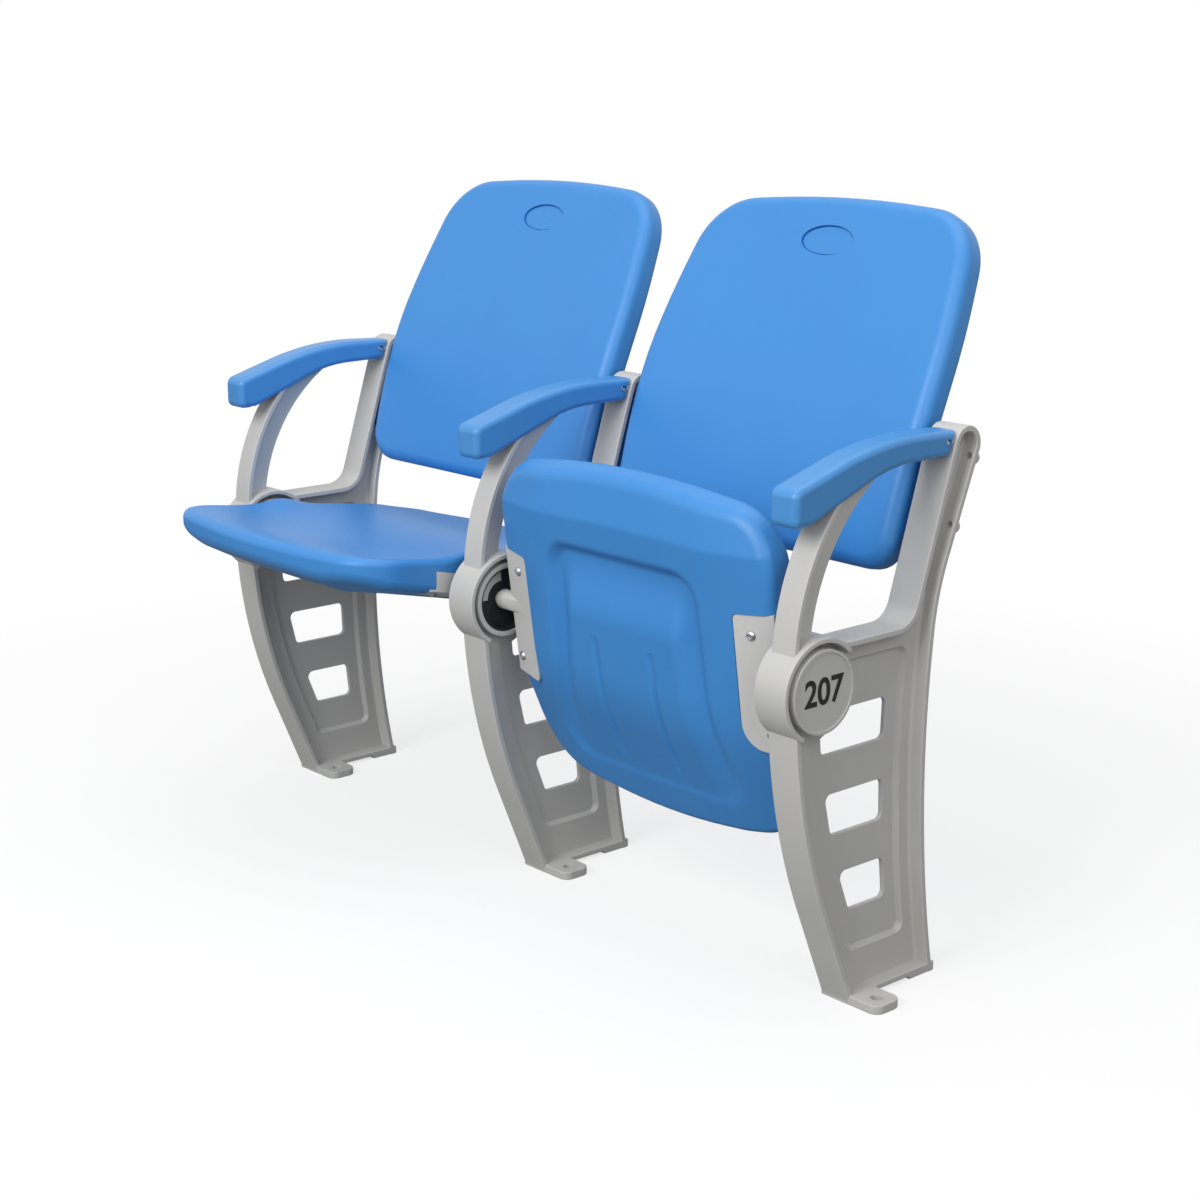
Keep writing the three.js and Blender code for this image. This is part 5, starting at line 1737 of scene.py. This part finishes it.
@dataclass
class HubFittings:
    """The nylon bushes in the hubs that a seat turns in, and the discs that close the two outer hubs."""

    standard: CastStandard
    bracket: PivotBracket
    # The bush's plate: a real flange, black over the whole cavity floor, where it is also painted shade.
    plate: float = 3.0
    collar: float = 20.0
    collar_reach: float = 7.0
    running: float = 0.25
    gap: float = 0.3
    lap: float = 1.0
    spigot_start: float = 0.15
    # Painted shade: the wall of a thin black sleeve that lines the ring's bore, standing for the shade inside it.
    sleeve: float = 1.8
    buffer_width_deg: float = 20.0
    buffer_reach: float = 17.6
    slack: float = 0.5
    disc_thickness: float = 8.0
    disc_cap: float = 2.2
    disc_rim: float = 3.6
    disc_rim_height: float = 1.5
    numeral_height: float = 30.0
    numeral_depth: float = 0.35
    numeral_weight: float = 0.9
    numeral_squeeze: float = 0.96
    font_size: float = 1.4
    bush_edge: float = 0.5
    disc_edge: float = 0.25
    stop_room_deg: float = 1.0
    bore_ends: Corner = (-5.0, 30.0)

    def stop_room(self, reach: float) -> Solid:
        """Returns the room kept round a hub's stop."""
        s = self.standard
        angles = (s.stop_angles[0] - self.stop_room_deg, s.stop_angles[1] + self.stop_room_deg)
        return Solid.sector(s.stop_inner - self.slack, s.stop_outer + self.slack, angles, 0, reach)

    def bush(self) -> Solid:
        """Returns a bush for the +X side of a standard; its black plate and sleeve are also painted hub shade."""
        s, b = self.standard, self.bracket
        face = s.web / 2 + self.gap
        bore, spigot = b.nose + self.running, s.bush_bore - self.slack
        outer = s.ring_inner - self.slack
        body = Solid.turned([(spigot, self.spigot_start), (spigot, face + self.lap)])
        # The plate spans the cavity floor: part real bush flange, part black sheet painted as the cavity's shade.
        body = body.join(
            Solid.turned([(outer, face), (outer, face + self.plate)]),
            Solid.turned([(self.collar, face), (self.collar, self.collar_reach)]),
        )
        # Painted shade: a black sleeve over the ring's inner wall, where there is only shade.
        sleeve = Solid.drum(outer, face + self.lap, s.ring_reach - s.edge)
        body = body.join(sleeve.cut(Solid.drum(outer - self.sleeve, face, s.flange)))
        end = s.stop_angles[0] - b.finger_width_deg - 2 * b.finger_gap_deg - ROW.tip_deg
        angles = (end - self.buffer_width_deg, end)
        block = Solid.sector(s.stop_inner, outer, angles, face + self.lap, self.buffer_reach)
        body = body.join(block).cut(Solid.drum(bore, *self.bore_ends), self.stop_room(s.flange))
        return body.eased(self.bush_edge)

    def disc_face(self) -> float:
        """Returns how far the discs' faces lie from the middle of a standard."""
        return self.standard.ring_reach + self.running + self.disc_cap

    def disc(self) -> Solid:
        """Returns a disc for the +X side of a standard, with a cap that lies on the hub's ring."""
        s = self.standard
        radius, inner = s.ring_inner - self.slack, s.ring_outer - self.disc_rim
        low, face = s.ring_reach + self.running, self.disc_face()
        body = Solid.turned([(radius, face - self.disc_thickness), (radius, face)])
        body = body.join(Solid.drum(s.ring_outer, low, face + self.disc_rim_height, ease=self.disc_cap / 4))
        recess = Solid.turned([(inner, face), (inner, face + self.disc_thickness)])
        body = body.cut(recess, self.stop_room(s.stop_reach + self.gap))
        return body.eased(self.disc_edge)

    def numeral(self, text: str) -> bpy.types.Object:
        """Sets out the place number on the right disc.

        Args:
            text: The plain number.

        Returns:
            The printed number as a thin mesh.
        """
        curve = bpy.data.curves.new("number", "FONT")
        curve.body, curve.size = text, self.numeral_height * self.font_size
        curve.align_x = curve.align_y = "CENTER"
        curve.extrude, curve.offset = self.numeral_depth / 2, self.numeral_weight
        curve.resolution_u = 8
        item = linked("number", curve)
        mesh = evaluated_mesh(item)
        bpy.data.objects.remove(item)
        squeeze = Matrix.Diagonal((self.numeral_squeeze, 1, 1, 1))
        upright = Matrix(((0, 0, 1, 0), (1, 0, 0, 0), (0, 1, 0, 0), (0, 0, 0, 1)))
        at = self.disc_face()
        mesh.transform(Matrix.Translation((at + self.numeral_depth / 2, 0, 0)) @ upright @ squeeze)
        dress = Dress(INK, Slot.CASTING, Body.FRAME, ())
        return set_out("place_number", Solid(mesh), ROW.hub(ROW.spacing), dress)

    def build(self) -> None:
        """Sets out four bushes, two discs and the place number."""
        right = self.bush()
        for place in Place:
            for end, side in (("l", -1), ("r", 1)):
                name = f"pivot_bush_{place.word}_{end}"
                x = place.value * ROW.spacing + side * ROW.spacing / 2
                shape = right.mirrored() if side > 0 else right
                dress = Dress(NYLON, Slot.NYLON, Body.FRAME, (name,))
                set_out(f"hub_bush_{place.word}_{end}", shape, ROW.hub(x), dress)
        disc = self.disc()
        for name, side in (("blank_disc", -1), ("number_disc", 1)):
            shape = disc if side > 0 else disc.mirrored()
            dress = Dress(POWDER_COAT, Slot.CASTING, Body.FRAME, (name,))
            set_out(f"hub_{name}", shape, ROW.hub(side * ROW.spacing), dress)
        self.numeral("207")


@dataclass
class Fasteners:
    """Every bolt and screw head, set on its seat by a node tree."""

    standard: CastStandard
    bracket: PivotBracket
    seat: SeatShell
    bracket_head: Corner = (12.0, 3.5)
    back_head: Corner = (13.0, 5.0)
    arm_head: Corner = (8.0, 2.0)
    gap: float = 0.3

    @staticmethod
    def button(socket_share: float = 0.3, floor_share: float = 0.45, sides: int = 40) -> Solid:
        """Returns a domed head of unit width and height with a six-sided socket, standing on +Z.

        Args:
            socket_share: The socket's radius.
            floor_share: The height of the socket's floor.
            sides: The sides of the dome.

        Returns:
            The head.
        """
        profile = [(0.5, 0.0), (0.5, 0.12), (0.47, 0.3), (0.4, 0.62), (0.28, 0.9), (0.16, 1.0)]
        head = Solid.turned(profile, sides)
        hexagon = [(socket_share * math.cos(a), socket_share * math.sin(a)) for a in np.arange(6) * math.pi / 3]
        head = head.cut(Solid.across(np.array(hexagon), floor_share, 1.5))
        head.mesh.transform(Matrix.Rotation(-math.pi / 2, 4, "Y"))
        return head

    @staticmethod
    def hexagon(corner_share: float = 0.43, sides: int = 40) -> Solid:
        """Returns a six-sided head on a washer, of unit width and height, standing on +Z.

        Args:
            corner_share: How far the corners of the head lie from its axis.
            sides: The sides of the washer.

        Returns:
            The head.
        """
        flat = np.arange(6) * math.pi / 3
        outline = np.column_stack([corner_share * np.cos(flat), corner_share * np.sin(flat)])
        rings = [stood(outline * s, x) for x, s in ((0.15, 1), (0.88, 1), (1.0, 0.88))]
        head = Solid.lofted(rings).join(Solid.turned([(0.5, 0.0), (0.5, 0.16), (0.47, 0.22)], sides))
        head.mesh.transform(Matrix.Rotation(-math.pi / 2, 4, "Y"))
        return head

    @staticmethod
    def tree() -> bpy.types.NodeTree:
        """Builds the node tree that stands a head on each point, along the point's outward direction."""
        tree = bpy.data.node_groups.new("heads_on_seats", "GeometryNodeTree")
        sockets = (
            ("Seats", "NodeSocketGeometry"),
            ("Head", "NodeSocketObject"),
            ("Head width", "NodeSocketFloat"),
            ("Head height", "NodeSocketFloat"),
            ("Finish", "NodeSocketMaterial"),
        )
        for name, kind in sockets:
            tree.interface.new_socket(name, in_out="INPUT", socket_type=kind)
        tree.interface.new_socket("Heads", in_out="OUTPUT", socket_type="NodeSocketGeometry")
        given = add_node(tree, "NodeGroupInput").outputs
        outward = add_node(tree, "GeometryNodeInputNamedAttribute", {"Name": "outward"}, data_type="FLOAT_VECTOR")
        turn = add_node(
            tree, "FunctionNodeAlignRotationToVector", {"Vector": outward.outputs["Attribute"]}, axis="Z"
        )
        size = add_node(
            tree,
            "ShaderNodeCombineXYZ",
            {"X": given["Head width"], "Y": given["Head width"], "Z": given["Head height"]},
        )
        head = add_node(tree, "GeometryNodeObjectInfo", {"Object": given["Head"], "As Instance": True})
        stand = add_node(
            tree,
            "GeometryNodeInstanceOnPoints",
            {
                "Points": given["Seats"],
                "Instance": head.outputs["Geometry"],
                "Rotation": turn.outputs["Rotation"],
                "Scale": size.outputs["Vector"],
            },
        )
        real = add_node(tree, "GeometryNodeRealizeInstances", {"Geometry": stand.outputs["Instances"]})
        coat = add_node(
            tree, "GeometryNodeSetMaterial", {"Geometry": real.outputs["Geometry"], "Material": given["Finish"]}
        )
        add_node(tree, "NodeGroupOutput", {"Heads": coat.outputs["Geometry"]})
        return tree

    def heads(
        self,
        name: str,
        seats: Sequence[tuple[Vector, Vector]],
        head: Solid,
        size: Corner,
        dress: Dress,
    ) -> None:
        """Sets out the heads of one kind that ride on one body.

        Args:
            name: The piece's name.
            seats: Each head's place in millimetres and its outward direction.
            head: The head of unit width and height.
            size: Its real width and height.
            dress: The finish, slot, body and nodes of the piece.
        """
        pattern = linked("pattern", head.mesh)
        points = bpy.data.meshes.new(name)
        points.from_pydata([seat * MM for seat, _ in seats], [], [])
        outward = points.attributes.new("outward", "FLOAT_VECTOR", "POINT")
        outward.data.foreach_set("vector", [c for _, direction in seats for c in direction])
        item = linked(name, points)
        modifier = item.modifiers.new("heads", "NODES")
        modifier.node_group = bpy.data.node_groups.get("heads_on_seats") or self.tree()
        values = {
            "Head": pattern,
            "Head width": size[0] * MM,
            "Head height": size[1] * MM,
            "Finish": dress.finish.material(),
        }
        for socket in modifier.node_group.interface.items_tree:
            if socket.in_out == "INPUT" and socket.name in values:
                modifier[socket.identifier] = values[socket.name]
        mesh = evaluated_mesh(item)
        mesh.transform(Matrix.Diagonal((1 / MM, 1 / MM, 1 / MM, 1)))
        for used in (item, pattern):
            bpy.data.objects.remove(used)
        set_out(name, Solid(mesh), Matrix.Identity(4), dress, 30.0)

    def build(self) -> None:
        """Sets out the heads of the brackets, the backs and the arm rests."""
        button, hexagon = self.button(), self.hexagon()
        backs, back_nodes = [], []
        s = self.standard
        rearward = Vector(s.rearward())
        for place in Place:
            turn = ROW.seat(place)
            seats, nodes = [], []
            for end, side in (("l", -1), ("r", 1)):
                flip = Matrix.Diagonal((side, 1, 1, 1))
                for k, (spot, inward) in enumerate(self.bracket.bolts(self.seat), 1):
                    out = turn.to_3x3() @ (flip.to_3x3() @ Vector(-inward))
                    seats.append((turn @ flip @ Vector(spot) + out * self.gap, out))
                    nodes.append(f"bracket_bolt_{place.word}_{end}{k}")
                x = place.value * ROW.spacing + side * (ROW.spacing / 2 - s.bolt_offset)
                for k, height in enumerate(s.bolt_heights, 1):
                    spot = Vector(s.bolt_seat(height, x)) + rearward * (s.pad_height + self.gap)
                    backs.append((spot - Vector((0, ROW.origin_setback, 0)), rearward))
                    back_nodes.append(f"back_bolt_{place.word}_{end}{k}")
            dress = Dress(ZINC, Slot.BOLT, place.body, tuple(nodes))
            self.heads(f"bracket_screws_{place.word}", seats, button, self.bracket_head, dress)
        dress = Dress(ZINC, Slot.BOLT, Body.FRAME, tuple(back_nodes))
        self.heads("back_bolts", backs, hexagon, self.back_head, dress)
        aside = s.arm_flange / 2 + self.gap
        spot = Vector((aside, s.screw_setback, s.screw_height()))
        arms = [(ROW.standard(i) @ spot, Vector((1, 0, 0))) for i in range(len(STANDARD_WORDS))]
        nodes = tuple(f"arm_screw_{word}" for word in STANDARD_WORDS)
        self.heads("arm_screws", arms, button, self.arm_head, Dress(ZINC, Slot.BOLT, Body.FRAME, nodes))


@dataclass
class Studio:
    """The floor, the lamps and the camera."""

    camera_at: Corner = (2.0362, -1.6867, 1.0323)
    azimuth_deg: float = 48.854
    elevation_deg: float = 14.177
    roll_deg: float = -0.03
    lens: float = 63.08
    sensor: float = 36.0
    floor_half: float = 9.0
    fade: Corner = (0.7, 1.7)
    fade_least: float = 0.72
    fill: float = 0.36

    def camera(self) -> None:
        """Stands the camera where the photograph was taken from."""
        data = bpy.data.cameras.new("camera")
        data.lens, data.sensor_width, data.sensor_fit = self.lens, self.sensor, "AUTO"
        item = linked("camera", data)
        a, e = math.radians(self.azimuth_deg), math.radians(self.elevation_deg)
        back = Vector((math.sin(a) * math.cos(e), -math.cos(a) * math.cos(e), math.sin(e)))
        look = (-back).to_track_quat("-Z", "Y")
        item.rotation_mode = "QUATERNION"
        item.rotation_quaternion = look @ Quaternion((0, 0, 1), math.radians(self.roll_deg))
        item.location = self.camera_at
        bpy.context.scene.camera = item

    def floor(self) -> None:
        """Lays a plain pale floor that fades to white away from the seats."""
        mesh = bpy.data.meshes.new("floor")
        half = self.floor_half
        mesh.from_pydata([(-half, -half, 0), (half, -half, 0), (half, half, 0), (-half, half, 0)], [], [(0, 1, 2, 3)])
        material = bpy.data.materials.new("pale_studio_floor")
        material.use_nodes = True
        tree = material.node_tree
        tree.nodes.clear()
        place = add_node(tree, "ShaderNodeTexCoord").outputs["Object"]
        far = add_node(tree, "ShaderNodeVectorMath", {0: place}, operation="LENGTH")
        fade = add_node(
            tree,
            "ShaderNodeMapRange",
            {
                "Value": far.outputs["Value"],
                "From Min": self.fade[0],
                "From Max": self.fade[1],
                "To Min": self.fade_least,
            },
        ).outputs["Result"]
        seen = add_node(tree, "ShaderNodeLightPath").outputs["Is Camera Ray"]
        share = add_node(tree, "ShaderNodeMath", {0: fade, 1: seen}, operation="MULTIPLY")
        tint = add_node(tree, "ShaderNodeMix", {"Factor": seen}, data_type="RGBA")
        tint.inputs["A"].default_value = linear("#8e8e8d")
        tint.inputs["B"].default_value = linear("#fbfbfa")
        matt = add_node(tree, "ShaderNodeBsdfDiffuse", {"Color": tint.outputs["Result"]})
        white = add_node(tree, "ShaderNodeEmission", {"Color": (1, 1, 1, 1), "Strength": 1.0})
        both = add_node(
            tree,
            "ShaderNodeMixShader",
            {0: share.outputs["Value"], 1: matt.outputs["BSDF"], 2: white.outputs["Emission"]},
        )
        add_node(tree, "ShaderNodeOutputMaterial", {"Surface": both.outputs["Shader"]})
        mesh.materials.append(material)
        item = linked("floor", mesh)

    def lamp(self, name: str, at: Corner, aim: Corner, size: float, watts: float) -> None:
        """Hangs one soft lamp.

        Args:
            name: The lamp's name.
            at: Its place in metres.
            aim: The point it faces.
            size: The side of its square face.
            watts: Its power.
        """
        data = bpy.data.lights.new(name, "AREA")
        data.shape, data.size, data.energy = "SQUARE", size, watts
        item = linked(name, data)
        item.location = at
        item.rotation_mode = "QUATERNION"
        item.rotation_quaternion = (Vector(aim) - Vector(at)).to_track_quat("-Z", "Y")

    def world(self) -> None:
        """Fills the room with even light, and shows white behind the seats."""
        world = bpy.data.worlds.new("studio")
        world.use_nodes = True
        tree = world.node_tree
        tree.nodes.clear()
        path = add_node(tree, "ShaderNodeLightPath").outputs
        rays = {0: path["Is Camera Ray"], 1: path["Is Glossy Ray"]}
        seen = add_node(tree, "ShaderNodeMath", rays, operation="MAXIMUM")
        soft = add_node(tree, "ShaderNodeBackground", {"Color": linear("#f3f5f8"), "Strength": self.fill})
        white = add_node(tree, "ShaderNodeBackground", {"Color": (1, 1, 1, 1), "Strength": 1.0})
        both = add_node(
            tree,
            "ShaderNodeMixShader",
            {0: seen.outputs["Value"], 1: soft.outputs["Background"], 2: white.outputs["Background"]},
        )
        add_node(tree, "ShaderNodeOutputWorld", {"Surface": both.outputs["Shader"]})
        bpy.context.scene.world = world

    def build(self) -> None:
        """Sets up the whole studio."""
        self.floor()
        self.world()
        self.lamp("key_softbox", (0.7, -3.7, 2.7), (0, 0, 0.45), 2.2, 124)
        self.lamp("top_softbox", (0.2, 0.2, 3.6), (0, 0, 0.4), 2.6, 40)
        self.lamp("fill_softbox", (3.4, -1.4, 2.4), (0, 0, 0.45), 2.0, 36)
        self.camera()
        bpy.context.scene.view_settings.view_transform = "Standard"


def main() -> None:
    """Builds every piece of the row and the studio, in order."""
    logging.basicConfig(level=logging.INFO, format="%(message)s")
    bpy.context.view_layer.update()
    standard = CastStandard()
    seat = SeatShell()
    bracket = PivotBracket()
    standard.build()
    ArmCap(standard).build()
    BackShell(standard).build()
    seat.build(bracket)
    bracket.build(seat, standard.stop_angles[0])
    HubFittings(standard, bracket).build()
    Fasteners(standard, bracket, seat).build()
    Studio().build()


if __name__ == "__main__":
    main()
